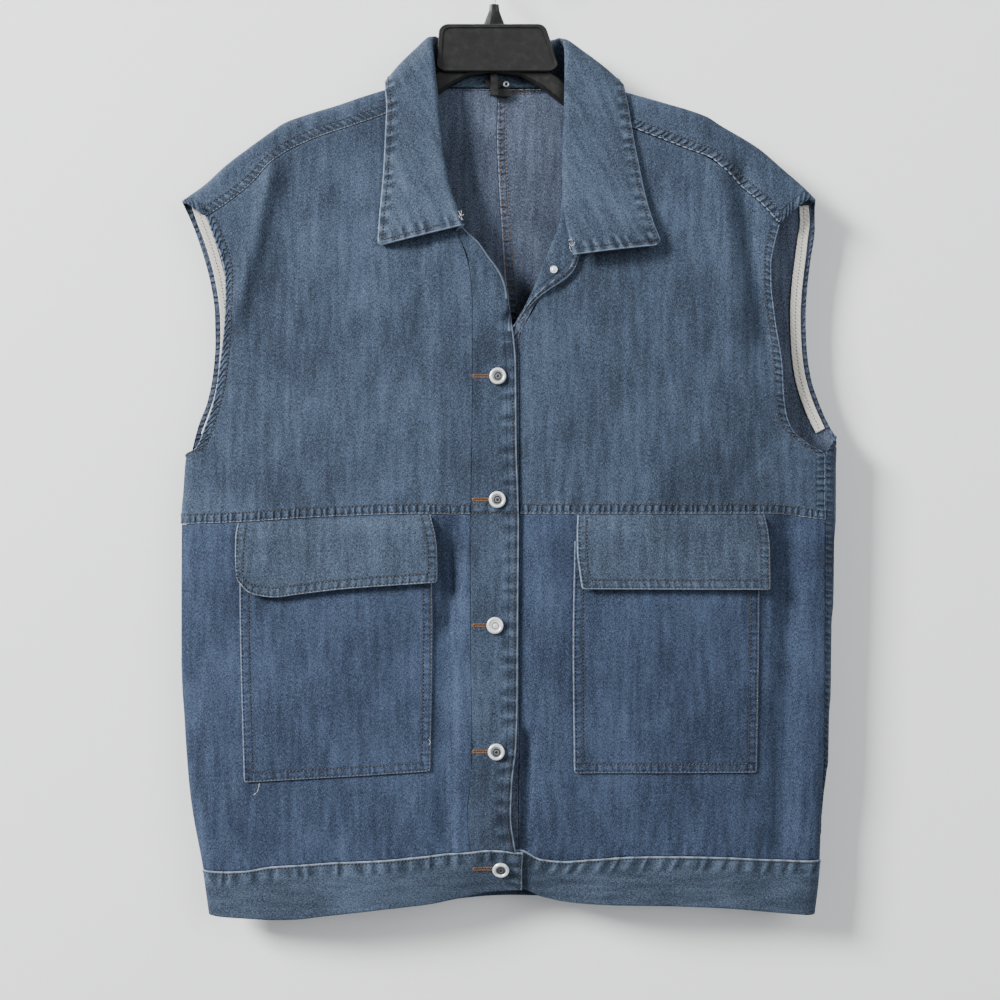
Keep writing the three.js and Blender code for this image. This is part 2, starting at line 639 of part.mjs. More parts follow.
const NECK_ROWS = FLANK_ROWS.length - 1 + ARM_ROWS - PLACKET_ROWS;
const upperOutLeft = [...flankLeft, ...along(ARMHOLE_FRONT_LEFT, even(ARM_ROWS)).slice(1)];
const upperInLeft = [
  ...rowsDown((z) => read(PLACKET_SEAM_LEFT, "z", z, "x"), waistLeft.at(-1).z, -283, even(PLACKET_ROWS)),
  ...along(NECK_LEFT, even(NECK_ROWS)).slice(1),
];
const frontLowerLeft = patch(bandLeft, waistLeft, lowerOutLeft, lowerInLeft);
const frontUpperLeft = patch(waistLeft, shoulderLeft, upperOutLeft, upperInLeft);

// The front's right half.
const bandRight = level(seamRight(BAND_RIGHT_END), PLACKET_SEAM_RIGHT[0].x, RIGHT_STOPS, BAND_FRONT_RIGHT, "top");
const waistRight = level(seamRight(WAIST_RIGHT_END), 23.4, RIGHT_STOPS, WAIST_Z, "z");
const shoulderRight = along(SHOULDER_RIGHT, RIGHT_STOPS);
const lowerInRight = rowsDown(() => 23.4, bandRight.at(-1).z, waistRight.at(-1).z, LOWER_ROWS);
const lowerOutRight = rowsDown(seamRight, bandRight[0].z, waistRight[0].z, LOWER_ROWS);
const flankRight = rowsDown(seamRight, waistRight[0].z, ARMHOLE_FRONT_RIGHT[0].z, FLANK_ROWS);
const upperOutRight = [...flankRight, ...along(ARMHOLE_FRONT_RIGHT, even(ARM_ROWS)).slice(1)];
const STRAIGHT_ROWS = 6;
const upperInRight = [
  ...rowsDown(() => 23.4, waistRight.at(-1).z, -380, even(STRAIGHT_ROWS)),
  ...along(from(PLACKET_SEAM_RIGHT, -380), even(PLACKET_ROWS - STRAIGHT_ROWS + 1)).slice(1),
  ...along(NECK_RIGHT, even(NECK_ROWS - 1)).slice(1),
];
const frontLowerRight = patch(bandRight, waistRight, lowerOutRight, lowerInRight);
const frontUpperRight = patch(waistRight, shoulderRight, upperOutRight, upperInRight);

add("front_lower_left", panel(frontLowerLeft, FRONT, climb), DENIM_BLUE);
add("front_upper_left", panel(frontUpperLeft, FRONT, climb), DENIM_BLUE);
add("front_lower_right", panel(frontLowerRight, FRONT), DENIM_BLUE);
add("front_upper_right", panel(frontUpperRight, FRONT), DENIM_BLUE);

// The back halves run from the waistband over the shoulder ridge to the forward shoulder seam.
const RIDGE_OFFSETS = [-13, -5, -1.6, 0, 1.6, 5, 14];
function backHalf(which) {
  const left = which === LEFT;
  const stopsHere = left ? LEFT_STOPS : RIGHT_STOPS;
  const bandEnd = left ? BAND_LEFT_END : BAND_RIGHT_END;
  const seamOn = left ? (z) => foldLeft(z) + SEAM_BACK : (z) => 2 * foldRight(z) - seamRight(z);
  const shoulder = left ? shoulderLeft : shoulderRight;
  const neck = left ? NECK_BACK_LEFT : NECK_BACK_RIGHT;
  const armhole = left ? ARMHOLE_BACK_LEFT : ARMHOLE_BACK_RIGHT;
  const front = left ? upperOutLeft : upperOutRight;
  const frontLow = left ? lowerOutLeft : lowerOutRight;
  const flip = (p) => ({ x: p.x, z: 2 * read(RIDGE, "x", p.x, "z") - p.z });
  const top = shoulder.map(flip);
  const bottom = level(seamOn(bandEnd), CENTRE_BACK[0].x, stopsHere, BAND_BACK, "top");
  const flank = front.slice(0, FLANK_ROWS.length).map((p) => ({ x: seamOn(p.z), z: p.z }));
  const low = frontLow.map((p) => ({ x: seamOn(p.z), z: p.z }));
  const rise = left ? armhole : [{ x: 2 * foldRight(-487.5) - 307.5, z: -487.5 }, ...armhole];
  const backArm = along(rise, even(9));
  const corner = backArm.at(-1);
  const yokeEnd = [0.2, 0.5, 1].map((f) => ({ x: mix(corner.x, top[0].x, f), z: mix(corner.z, top[0].z, f ** 1.1) }));
  const outer = [...low, ...flank.slice(1), ...backArm.slice(1), ...yokeEnd];
  const neckLine = along(neck, [0, 0.25, 0.5, 0.68, 0.79, 0.86, 0.93, 1]);
  const rowsBelow = outer.length - neckLine.length;
  const inner = [
    ...along(CENTRE_BACK, even(rowsBelow)).slice(0, -1),
    ...neckLine,
  ];
  const places = patch(bottom, top, outer, inner);
  const ridgeRow = outer.length - 1 - yokeEnd.length;
  places.forEach((row, j) => {
    if (j < ridgeRow - 2 || j === places.length - 1) return;
    const above = (p) => p.z - read(RIDGE, "x", p.x, "z");
    const [a, b] = [above(row[0]), above(row.at(-1))];
    row.forEach((p, i) => {
      if (i === 0 || i === row.length - 1) return;
      const want = RIDGE_OFFSETS[j - ridgeRow + 3];
      const edge = Math.min(1, Math.min(i, row.length - 1 - i) / 2);
      p.z = read(RIDGE, "x", p.x, "z") + mix(mix(a, b, i / (row.length - 1)), want, edge);
    });
  });
  return places;
}
const backLeft = backHalf(LEFT);
const backRight = backHalf(RIGHT);
add("back_left", panel(backLeft, BACK), DENIM_BLUE);
add("back_right", panel(backRight, BACK), DENIM_BLUE);

// The top placket: flat from its join, then rolled in at the neck, where its face narrows.
const PLACKET_STOPS = [-852, -820, -788, -756, -722, -688, -654, -620, -586, -552, -518, -484, -452, -422, -400, -384,
  -372, -362, -352, -342, -332, -322, -312, -303, -295, -289, -284.5];
const ARC = Math.PI * PLACKET.roll;
function placketTopGrid() {
  return PLACKET_STOPS.map((z, j) => {
    const seam = read(PLACKET_SEAM_LEFT, "z", z, "x");
    const shown = read(PLACKET_EDGE, "z", z, "x") - seam;
    const rolled = smooth((z + 376) / 44);
    const turn = Math.max(rolled * Math.PI, 1e-3);
    const radius = ARC / turn;
    const tail = mix(3, clamp(PLACKET.width - shown - 6, 3, 13), rolled);
    const reach = turn < Math.PI / 2 ? radius * Math.sin(turn) + tail * Math.cos(turn) : radius;
    const flat = shown - reach;
    const steps = [...[0, 0.34, 0.67].map((f) => [flat * f, 0]),
      ...[0, 0.25, 0.5, 0.75, 1].map((f) => [
        flat + radius * Math.sin(turn * f), radius * (1 - Math.cos(turn * f))]),
      [flat + radius * Math.sin(turn) + tail * Math.cos(turn),
        radius * (1 - Math.cos(turn)) + tail * Math.sin(turn)]];
    return steps.map(([dx, drop]) => {
      const x = seam + dx;
      const at = j === 0 ? read(BAND_FRONT_LEFT, "x", x, "top") : z;
      return place(x, at, FRONT).addScaledVector(outward(x, at, FRONT), STACK_RISE - drop);
    });
  });
}
const topGrid = placketTopGrid();
const topNormals = gridNormals(topGrid, new THREE.Vector3(0, -1, 0), [8, 1]);
add("placket_top", wall(inset(topGrid, JOIN_INSET), topNormals, DOUBLE_DENIM),
  DENIM_BLUE);

// The under placket: its inner face is the grid, because that face shows where the lapel turns out.
const FOLD_RISE = [-DOUBLE_DENIM, -DOUBLE_DENIM, -1.9, 1.4, 4.8, 5.5, 5.1];
function placketUnderGrid() {
  const plain = UNDER_ROWS.map((row, j) => [0, 0.17, 0.34, 0.5, 0.67, 0.84, 1].map((f) => {
    const x = mix(PLACKET_SEAM_RIGHT[0].x, row.xe, f);
    const z = j === 0 ? read(BAND_FRONT_RIGHT, "x", x, "top") : mix(row.seam, row.ze, f);
    return place(x, z, FRONT).addScaledVector(outward(x, z, FRONT), -DOUBLE_DENIM);
  }));
  const lapel = LAPEL_ROWS.map((row, j) => {
    const fold = clamp((j + 1) / 4, 0, 1);
    const spots = [[row.x, row.z], [mix(row.x, row.xf, 0.5), mix(row.z, row.zf, 0.5)],
      [mix(row.x, row.xf, 0.88), mix(row.z, row.zf, 0.88)], [row.xf, row.zf],
      [mix(row.xf, row.xe, 0.1), mix(row.zf, row.ze, 0.1)],
      [mix(row.xf, row.xe, 0.5), mix(row.zf, row.ze, 0.5)], [row.xe, row.ze]];
    return spots.map(([x, z], i) => place(x, z, FRONT).addScaledVector(
      outward(x, z, FRONT), mix(-DOUBLE_DENIM, FOLD_RISE[i], fold)));
  });
  return [...plain, ...lapel];
}
const underGrid = placketUnderGrid();
const underNormals = gridNormals(underGrid, new THREE.Vector3(0, 1, 0), [4, 3]);
add("placket_under", wall(inset(underGrid, JOIN_INSET), underNormals, DOUBLE_DENIM),
  DENIM_BLUE);

// The collar: one folded wall from the neck seam up to its roll and down to its outer edge.
const COLLAR_LIFTS = { seam: -1.2, stand: 0, under: 0.6, edge: 3.6 };
function collarGrid() {
  return COLLAR.map((c, j) => {
    const turn = THREE.MathUtils.degToRad(c.turn);
    const sideways = (c.xr < 0 ? -1 : 1) * (j === 10 ? 0 : 1);
    const out = new THREE.Vector3(sideways * Math.sin(turn) * 0.55, -Math.cos(turn), Math.sin(turn) * 0.83).normalize();
    const base = (x, z) => new THREE.Vector3(x, turn < Math.PI / 2
      ? -Math.cos(turn) * (depthOf(FRONT, x, z) + climb(x, z) * 0.9) : -Math.cos(turn) * depthOf(BACK, x, z), z);
    const at = (f, lift, toEdge) => {
      const [x, z] = toEdge ? [mix(c.xr, c.xe, f), mix(c.zr, c.ze, f)] : [mix(c.xn, c.xr, f), mix(c.zn, c.zr, f)];
      return base(x, z).addScaledVector(out, lift);
    };
    return [at(0, COLLAR_LIFTS.seam + c.bulk * 0.6), at(0.5, COLLAR_LIFTS.stand + c.bulk),
      at(0.9, COLLAR_LIFTS.under + c.bulk), at(1, mix(c.bulk, c.rise, 0.5)), at(0.06, c.rise * 0.97, true),
      at(0.35, c.rise, true), at(0.7, c.rise * 0.8 + c.bulk * 0.2, true),
      at(1, COLLAR_LIFTS.edge + c.bulk * 0.35, true)];
  });
}
const collarRows = collarGrid();
add("collar", wall(inset(collarRows), gridNormals(collarRows, new THREE.Vector3(0, -1, 0), [3, 5]), DOUBLE_DENIM),
  DENIM_PALE);

// The waistband: columns from its top end in front, round the back, to its under end.
const BAND_RISE = 0.5;
const BAND_END = { over: 25.5, under: -19.5 };
function bandGrid() {
  const column = (p, side, top, hem, rise) => {
    const [l, r] = [foldLeft(top), foldRight(top)];
    const share = (p.x - l) / (r - l);
    return [0, 0.5, 1].map((f) => {
      const z = mix(top, hem, f);
      const x = mix(foldLeft(z), foldRight(z), share);
      return place(x, z, side).addScaledVector(outward(x, z, side), rise);
    });
  };
  const frontColumn = (table, climbs) => (p) => column(p, FRONT, read(table, "x", p.x, "top"),
    read(table, "x", p.x, "hem"), BAND_RISE + (climbs ? climb(p.x, p.z) : 0));
  const backColumn = (p) => column(p, BACK, read(BAND_BACK, "x", p.x, "top"), read(BAND_BACK, "x", p.x, "hem"),
    BAND_RISE);
  const over = even(3).slice(0, -1).map((f) => ({ x: mix(BAND_END.over, PLACKET_SEAM_LEFT[0].x, f), z: -852 }));
  const under = even(3).slice(1).map((f) => ({ x: mix(PLACKET_SEAM_RIGHT[0].x, BAND_END.under, f), z: -852 }));
  return [
    ...[...over, ...[...bandLeft].reverse().slice(0, -1)].map(frontColumn(BAND_FRONT_LEFT, true)),
    ...backLeft[0].slice(0, -1).map(backColumn),
    ...[...backRight[0]].reverse().slice(0, -1).map(backColumn),
    ...[...bandRight, ...under].map(frontColumn(BAND_FRONT_RIGHT, false)),
  ];
}
const bandRows = bandGrid();
const bandNormals = gridNormals(bandRows, new THREE.Vector3(0, -1, 0), [8, 1]);
add("waistband", wall(inset(bandRows, JOIN_INSET), bandNormals, DOUBLE_DENIM),
  DENIM_BLUE);

// What lies on a front panel: a patch lifted off it.
function lying(name, lines, rows, columns, riseAt, thick) {
  const [left, right] = [along(lines.left, even(rows)), along(lines.right, even(rows))];
  const across = (a, b) => even(columns).map((f) => ({ x: mix(a.x, b.x, f), z: mix(a.z, b.z, f) }));
  const bottom = lines.bottom ? along(lines.bottom, even(columns)) : across(left.at(-1), right.at(-1));
  const places = patch(across(left[0], right[0]), bottom, left, right);
  const rise = (i, j) => riseAt(i / columns, j / rows);
  const normals = places.map((row) => row.map((p) => outward(p.x, p.z, FRONT)));
  const outer = places.map((row, j) => row.map((p, i) => (
    place(p.x, p.z, FRONT).addScaledVector(normals[j][i], lay(p.x, p.z) + rise(i, j)))));
  add(name, wall(outer, normals, thick), DENIM_BLUE);
}
const POCKET_RISE = 2.3;
const POUCH = 1.2;
const FLAP_RISE = { top: 2.9, bottom: 8.2, curl: 4 };
for (const which of ["left", "right"]) {
  lying("pocket_" + which, POCKETS[which], 8, 7,
    (u, v) => POCKET_RISE + POUCH * Math.sin(Math.PI * u) * Math.sin(Math.PI * v), DENIM);
  const curl = which === "left" ? FLAP_RISE.curl : 0;
  lying("flap_" + which, FLAPS[which], 4, 9,
    (u, v) => mix(FLAP_RISE.top, 6.6, smooth(v / 0.3)) + (FLAP_RISE.bottom - 6.6) * v
      + curl * Math.exp(-(((u - 0.05) / 0.1) ** 2)) * smooth((v - 0.45) / 0.55), DOUBLE_DENIM);
}

// White tape inside each armhole edge.
const TAPE_STRIPS = [5.2, 10.2, 15.2];
const TAPE_GAP = 0.95;
function tape(name, table, side, toMiddle, [start, end]) {
  const shares = even(12).map((f) => mix(start, end, f));
  const step = 0.01;
  const spots = shares.map((f) => {
    const [a, b] = along(table, [f - step, f + step]);
    const [p] = along(table, [f]);
    const length = Math.hypot(b.x - a.x, b.z - a.z);
    let normal = { x: (b.z - a.z) / length, z: -(b.x - a.x) / length };
    if (normal.x * toMiddle < 0) normal = { x: -normal.x, z: -normal.z };
    return TAPE_STRIPS.map((d) => ({ x: p.x + normal.x * d, z: p.z + normal.z * d }));
  });
  const normals = spots.map((row) => row.map((p) => outward(p.x, p.z, side)));
  const lift = -DENIM - TAPE_GAP;
  const outer = spots.map((row, j) => row.map((p, i) => (
    place(p.x, p.z, side).addScaledVector(normals[j][i], lift + (side === FRONT ? lay(p.x, p.z) : 0)))));
  add(name, wall(outer, normals, TAPE), TAPE_WHITE);
}
tape("armhole_tape_back_left", ARMHOLE_BACK_LEFT, BACK, 1, [0.13, 0.9]);
tape("armhole_tape_back_right", ARMHOLE_BACK_RIGHT, BACK, -1, [0.17, 0.88]);
tape("armhole_tape_front_left", ARMHOLE_FRONT_LEFT, FRONT, 1, [0.14, 0.97]);
tape("armhole_tape_front_right", ARMHOLE_FRONT_RIGHT, FRONT, -1, [0.1, 0.97]);

// Round metal: a profile turned about the outward direction of the place that it sits on.
function turned(name, profile, sides, x, z, rise) {
  const geometry = new THREE.LatheGeometry(profile.map(([r, h]) => new THREE.Vector2(r, h)), sides);
  const mesh = add(name, geometry, NICKEL);
  const out = outward(x, z, FRONT);
  mesh.quaternion.setFromUnitVectors(new THREE.Vector3(0, 1, 0), out);
  mesh.position.copy(place(x, z, FRONT).addScaledVector(out, rise));
}
const SEAT = 0.6;
for (const b of BUTTONS) {
  const { radius: r, thick: t } = BUTTON;
  turned(b.name, [[0, 0], [r * 0.82, 0], [r, t * 0.4], [r * 0.86, t], [r * 0.66, t * 0.72], [r * 0.28, t * 0.5],
    [0, t * 0.5]], BUTTON.sides, b.x, b.z, STACK_RISE + SEAT + (b.z < -860 ? BAND_RISE : 0));
}
turned("button_top", [[0, 0], [LAPEL_RIVET.radius, 0], [LAPEL_RIVET.radius * 0.8, LAPEL_RIVET.thick],
  [LAPEL_RIVET.radius * 0.4, LAPEL_RIVET.thick * 0.6], [0, LAPEL_RIVET.thick * 0.6]], 14, LAPEL_RIVET.x, LAPEL_RIVET.z,
5.5 + SEAT);

// A geometry as a solid and back.
function solid(geometry) {
  const bare = (geometry.index ? geometry.toNonIndexed() : geometry.clone()).deleteAttribute("normal")
    .deleteAttribute("uv");
  const merged = mergeVertices(bare, 1e-3);
  const made = (triVerts) => new wasm.Manifold(new wasm.Mesh({
    numProp: 3,
    vertProperties: merged.attributes.position.array,
    triVerts,
  }));
  const faces = new Uint32Array(merged.index.array);
  const first = made(faces);
  return first.volume() < 0 ? made(faces.slice().reverse()) : first;
}
function geometryOf(made) {
  const mesh = made.getMesh();
  const geometry = new THREE.BufferGeometry();
  geometry.setAttribute("position", new THREE.BufferAttribute(mesh.vertProperties.slice(), 3));
  geometry.setIndex(new THREE.BufferAttribute(mesh.triVerts.slice(), 1));
  geometry.computeVertexNormals();
  return geometry;
}

// An outline in the (x, z) plane given depth along Y about `middle`.
function slabOf(points, depth, round, middle, segments = 2) {
  const shape = new THREE.Shape(points.map(([x, z]) => new THREE.Vector2(x, z)));
  const geometry = new THREE.ExtrudeGeometry(shape, {
    depth: depth - 2 * round, bevelEnabled: round > 0, bevelThickness: round, bevelSize: round, bevelOffset: -round,
    bevelSegments: segments,
  });
  geometry.translate(0, 0, -(depth - 2 * round) / 2);
  geometry.rotateX(Math.PI / 2);
  return geometry.translate(0, middle, 0);
}

// A closed body through rings of equal counts, with flat ends.
function loft(rings) {
  const n = rings[0].length;
  const faces = [];
  for (let j = 0; j < rings.length - 1; j += 1) {
    for (let i = 0; i < n; i += 1) {
      const [a, b] = [j * n + i, j * n + ((i + 1) % n)];
      faces.push(a, b, b + n, a, b + n, a + n);
    }
  }
  const last = (rings.length - 1) * n;
  for (let i = 1; i < n - 1; i += 1) faces.push(0, i + 1, i, last, last + i, last + i + 1);
  return closed(rings.flat(), faces);
}

// The moulded body: arms that follow the shoulders' inside, an arch, a boss for the hook and a short stem.
const ARM_HEIGHTS = [
  { x: 0, top: -100, bottom: -127 },
  { x: 24, top: -105, bottom: -130 },
  { x: 46, top: -119, bottom: -142 },
  { x: 62, top: -131, bottom: -155 },
  { x: 73, top: -141.6, bottom: -163 },
  { x: 88, top: -145, bottom: -171 },
];
const ARM_SEAT = DENIM + 2.6;
function hangerBody() {
  const far = [104, 124, 144, 164, 182, 195, 204, HANGER.reach];
  const section = (x, top, bottom) => {
    const { half, round } = HANGER;
    const right = [[0.64 * half, top - 0.22 * round], [half, top - round], [half, bottom + 2.6], [0.6 * half, bottom]];
    return [[0, top], ...right, ...right.reverse().map(([y, z]) => [-y, z])].map(([y, z]) => (
      new THREE.Vector3(x, y, z)));
  };
  const arm = (side) => [
    ...ARM_HEIGHTS.slice(1).map((r) => section(side * r.x, r.top, r.bottom)),
    ...far.map((x) => {
      const top = read(RIDGE, "x", side * x, "z") - ARM_SEAT - (x === HANGER.reach ? 3 : 0);
      return section(side * x, top, top - mix(HANGER.height, 12, smooth((x - 90) / (HANGER.reach - 90))));
    }),
  ];
  const arms = loft([...arm(LEFT).reverse(), section(0, ARM_HEIGHTS[0].top, ARM_HEIGHTS[0].bottom), ...arm(RIGHT)]);
  const boss = new THREE.LatheGeometry([[0, -62.5], [4.4, -62.5], [5.2, -69], [10.6, -83], [12, -106], [0, -106]]
    .map(([r, z]) => new THREE.Vector2(r, z)), 16).rotateX(Math.PI / 2).scale(1, 0.42, 1);
  const stem = new THREE.BoxGeometry(6.6, 5, 24).translate(0, 0, -134);
  return geometryOf(solid(arms).add(solid(boss)).add(solid(stem)));
}
add("hanger_body", hangerBody(), BLACK_PLASTIC);

function plateOutline(shrink) {
  const [top, bottom] = [PLATE.top - shrink, PLATE.bottom + shrink];
  const round = PLATE.round - shrink * 0.6;
  const corner = (x, z, from0, to0) => even(4).map((f) => {
    const a = THREE.MathUtils.degToRad(mix(from0, to0, f));
    return [x + round * Math.cos(a), z + round * Math.sin(a)];
  });
  const side = (low, wide) => [
    ...corner(low - shrink * 1.3 - round, bottom + round, -90, -18),
    ...corner(wide - shrink * 1.1 - round, top - round, 18, 90)];
  return [[0, bottom], ...side(PLATE.right, PLATE.rightTop),
    ...side(PLATE.left, PLATE.leftTop).reverse().map(([x, z]) => [-x, z])];
}
const PLATE_MIDDLE = -HANGER.half - 0.35 - PLATE.thick / 2;
const plateBlank = solid(slabOf(plateOutline(0), PLATE.thick, 0.8, PLATE_MIDDLE, 1));
const plateFront = PLATE_MIDDLE - PLATE.thick / 2;
const plateRecess = solid(slabOf(plateOutline(PLATE.rim), PLATE.recess * 2, 0, plateFront));
add("hanger_plate", geometryOf(plateBlank.subtract(plateRecess)), BLACK_PLASTIC);

// The hook's wire stands on the boss, bends to one side and goes round over the bearing point.
function hookWire() {
  const mean = HOOK.radius + HOOK.wire / 2;
  const ring = even(12).map((f) => {
    const a = THREE.MathUtils.degToRad(mix(248, -24, f));
    return new THREE.Vector3(mean * Math.cos(a), 0, -HOOK.radius + mean * Math.sin(a));
  });
  const path = new THREE.CatmullRomCurve3([new THREE.Vector3(0, 0, -62.2), new THREE.Vector3(0, 0, -58),
    new THREE.Vector3(-0.8, 0, -52), ...ring], false, "centripetal");
  const section = new THREE.Shape(even(HOOK.sides).slice(0, -1).map((f) => new THREE.Vector2(
    Math.cos(f * 2 * Math.PI), Math.sin(f * 2 * Math.PI)).multiplyScalar(HOOK.wire / 2)));
  return new THREE.ExtrudeGeometry(section, { steps: HOOK.steps, extrudePath: path, bevelEnabled: false });
}
add("hanger_hook", hookWire(), STEEL);

export default vest;
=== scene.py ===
"""A sleeveless denim vest on a clothes hanger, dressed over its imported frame.

Forms are worked out in millimetres in the frame's axes: +X to the viewer's right, +Y to the
back, +Z up, with the origin where a rail holds the hook. Cloth lies as a front and a back layer
round a flat body. A flat place (x, z) and a side name a point of either layer, and past a side
fold or the shoulder ridge the place goes on onto the other side.
"""
import logging
import math
from dataclasses import dataclass
from enum import Enum, IntEnum
from functools import partial

import bpy
import numpy as np
from mathutils import Matrix, Vector


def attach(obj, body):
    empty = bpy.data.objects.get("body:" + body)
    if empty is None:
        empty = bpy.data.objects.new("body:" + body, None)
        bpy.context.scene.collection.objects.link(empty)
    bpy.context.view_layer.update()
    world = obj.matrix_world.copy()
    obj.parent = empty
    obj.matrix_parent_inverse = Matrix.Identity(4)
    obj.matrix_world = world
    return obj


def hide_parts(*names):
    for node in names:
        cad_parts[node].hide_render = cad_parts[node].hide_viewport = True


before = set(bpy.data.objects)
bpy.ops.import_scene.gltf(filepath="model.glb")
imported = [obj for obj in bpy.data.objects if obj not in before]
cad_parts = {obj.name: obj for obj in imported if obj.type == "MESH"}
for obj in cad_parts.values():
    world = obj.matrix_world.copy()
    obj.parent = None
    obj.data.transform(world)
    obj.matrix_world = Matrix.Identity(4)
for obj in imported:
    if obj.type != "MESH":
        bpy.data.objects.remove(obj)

log = logging.getLogger("vest")
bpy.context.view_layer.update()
bpy.ops.object.select_all(action="DESELECT")

MM = 0.001
DENIM = 1.5
DOUBLE = 2.2
TAPE = 1.0
SEAM_INSET = 0.16
RIDGE_ROUND = 12.0
FOLD_ROUND = 14.0
STACK_RISE = 4.0
STACK_REACH = 64.0
STACK_JOIN = 22
STACK_TOP = -180
STACK_FADE = 90
NORMAL_STEP = 1.2
SWELL_POWER = 2.6
FOLD_STRETCH = 0.6


class Side(IntEnum):
    """Which way a layer faces: the sign of its depth along Y."""

    FRONT = -1
    BACK = 1


class Half(Enum):
    """The viewer's left or right half of the vest."""

    LEFT = "left"
    RIGHT = "right"


LAYER_DEPTH = {Side.FRONT: 9.0, Side.BACK: 8.6}


class Table:
    """A short table with named columns, read on smooth curves that never overshoot."""

    def __init__(self, columns: str, *rows: tuple) -> None:
        """Keep the rows by column name.

        Args:
            columns: The columns' names, with spaces between.
            rows: One tuple of numbers a row.
        """
        data = np.array(rows, float)
        self.of = {name: data[:, k] for k, name in enumerate(columns.split())}

    def read(self, by: str, at: np.ndarray, of: str) -> np.ndarray:
        """Read a column where another one has the given values.

        Args:
            by: The column that is looked up.
            at: The values to look up.
            of: The column to read.

        Returns:
            The values read, in the shape of at.
        """
        keys, values = self.of[by], self.of[of]
        if keys[0] > keys[-1]:
            keys, values = keys[::-1], values[::-1]
        t = np.clip(np.asarray(at, float), keys[0], keys[-1])
        return hermite(keys, values, t)

    def line(self, start: float = -1e9) -> np.ndarray:
        """Give the flat places of the rows, from the first that lies at or above a height."""
        k = int(np.argmax(self.of["z"] >= start))
        return np.stack([self.of["x"], self.of["z"]], 1)[k:]


def hermite(keys: np.ndarray, values: np.ndarray, t: np.ndarray) -> np.ndarray:
    """Interpolate values on a cubic whose tangents are harmonic means, so that it never overshoots.

    Args:
        keys: Rising keys.
        values: A value, or an array of values, for each key.
        t: Where to read.

    Returns:
        The interpolated values, t's shape first.
    """
    steps = np.diff(keys).reshape((-1,) + (1,) * (values.ndim - 1))
    slope = np.diff(values, axis=0) / steps
    a, b = slope[:-1], slope[1:]
    total = np.where(a * b > 0, a + b, 1.0)
    tangent = np.concatenate([slope[:1], np.where(a * b > 0, 2 * a * b / total, 0.0), slope[-1:]])
    k = np.clip(np.searchsorted(keys, t, side="right") - 1, 0, len(keys) - 2)
    extra = (1,) * (values.ndim - 1)
    h = (keys[k + 1] - keys[k]).reshape(np.shape(t) + extra)
    f = ((t - keys[k]).reshape(np.shape(t) + extra)) / h
    f2, f3 = f * f, f * f * f
    return ((2 * f3 - 3 * f2 + 1) * values[k] + (f3 - 2 * f2 + f) * h * tangent[k]
            + (3 * f2 - 2 * f3) * values[k + 1] + (f3 - f2) * h * tangent[k + 1])


SIDES = Table(
    "z left right",
    (-246, -294.5, 303.5), (-300, -294, 309), (-360, -292.5, 314), (-420, -290.8, 319), (-471, -289.5, 322),
    (-500, -291.5, 321.3), (-545, -294.7, 321), (-633, -295, 318.4), (-677, -295, 317), (-735, -292, 315.5),
    (-779, -289, 313.5), (-823, -284, 308), (-861, -276, 306.5), (-879, -273.5, 305.5), (-897, -271, 303),
    (-922, -267.5, 300),
)
RIDGE = Table(
    "x z",
    (-298, -250), (-273, -233), (-250.6, -212.8), (-226.7, -194.9), (-210, -182.8), (-196.7, -173.8),
    (-174, -165.6), (-147, -157.4), (-124.8, -149.8), (-99.4, -142), (-75, -135.5), (-40, -131), (10, -130),
    (60, -131.5), (92, -137), (119.8, -144.2), (154, -153.6), (199, -167.8), (212, -176), (247.5, -197.5),
    (271, -217.5), (294.3, -238), (308, -252),
)
SWELL = Table(
    "z front back",
    (-130, 0.5, 0.4), (-200, 3.5, 1), (-290, 10, 2), (-400, 15, 3.2), (-545, 17, 4), (-700, 17, 4.4),
    (-850, 15, 4), (-925, 13, 3.4),
)
# The body's large folds, as lines from one place to another with a rise and a half width.
FOLDS = (
    (Side.FRONT, -207, -226, -238, -350, 5.5, 9),
    (Side.FRONT, -184, -232, -206, -360, -2.2, 13),
    (Side.FRONT, 232, -232, 252, -372, -5.5, 10),
    (Side.FRONT, 212, -222, 226, -380, 3.5, 13),
    (Side.FRONT, -58, -310, -50, -470, 2.4, 9),
    (Side.FRONT, 76, -800, 118, -858, -3, 9),
    (Side.FRONT, 277, -560, 268, -845, -4.8, 12),
    (Side.FRONT, -236, -806, -178, -852, 2.6, 12),
    (Side.FRONT, -252, -836, -206, -860, -2.4, 9),
    (Side.FRONT, -36, -560, -40, -640, -3, 10),
    (Side.BACK, -190, -240, -216, -420, 3.2, 14),
    (Side.BACK, 196, -236, 226, -410, 3.2, 14),
    (Side.BACK, -120, -470, -96, -800, -2.6, 18),
    (Side.BACK, 128, -500, 112, -820, -2.8, 18),
)
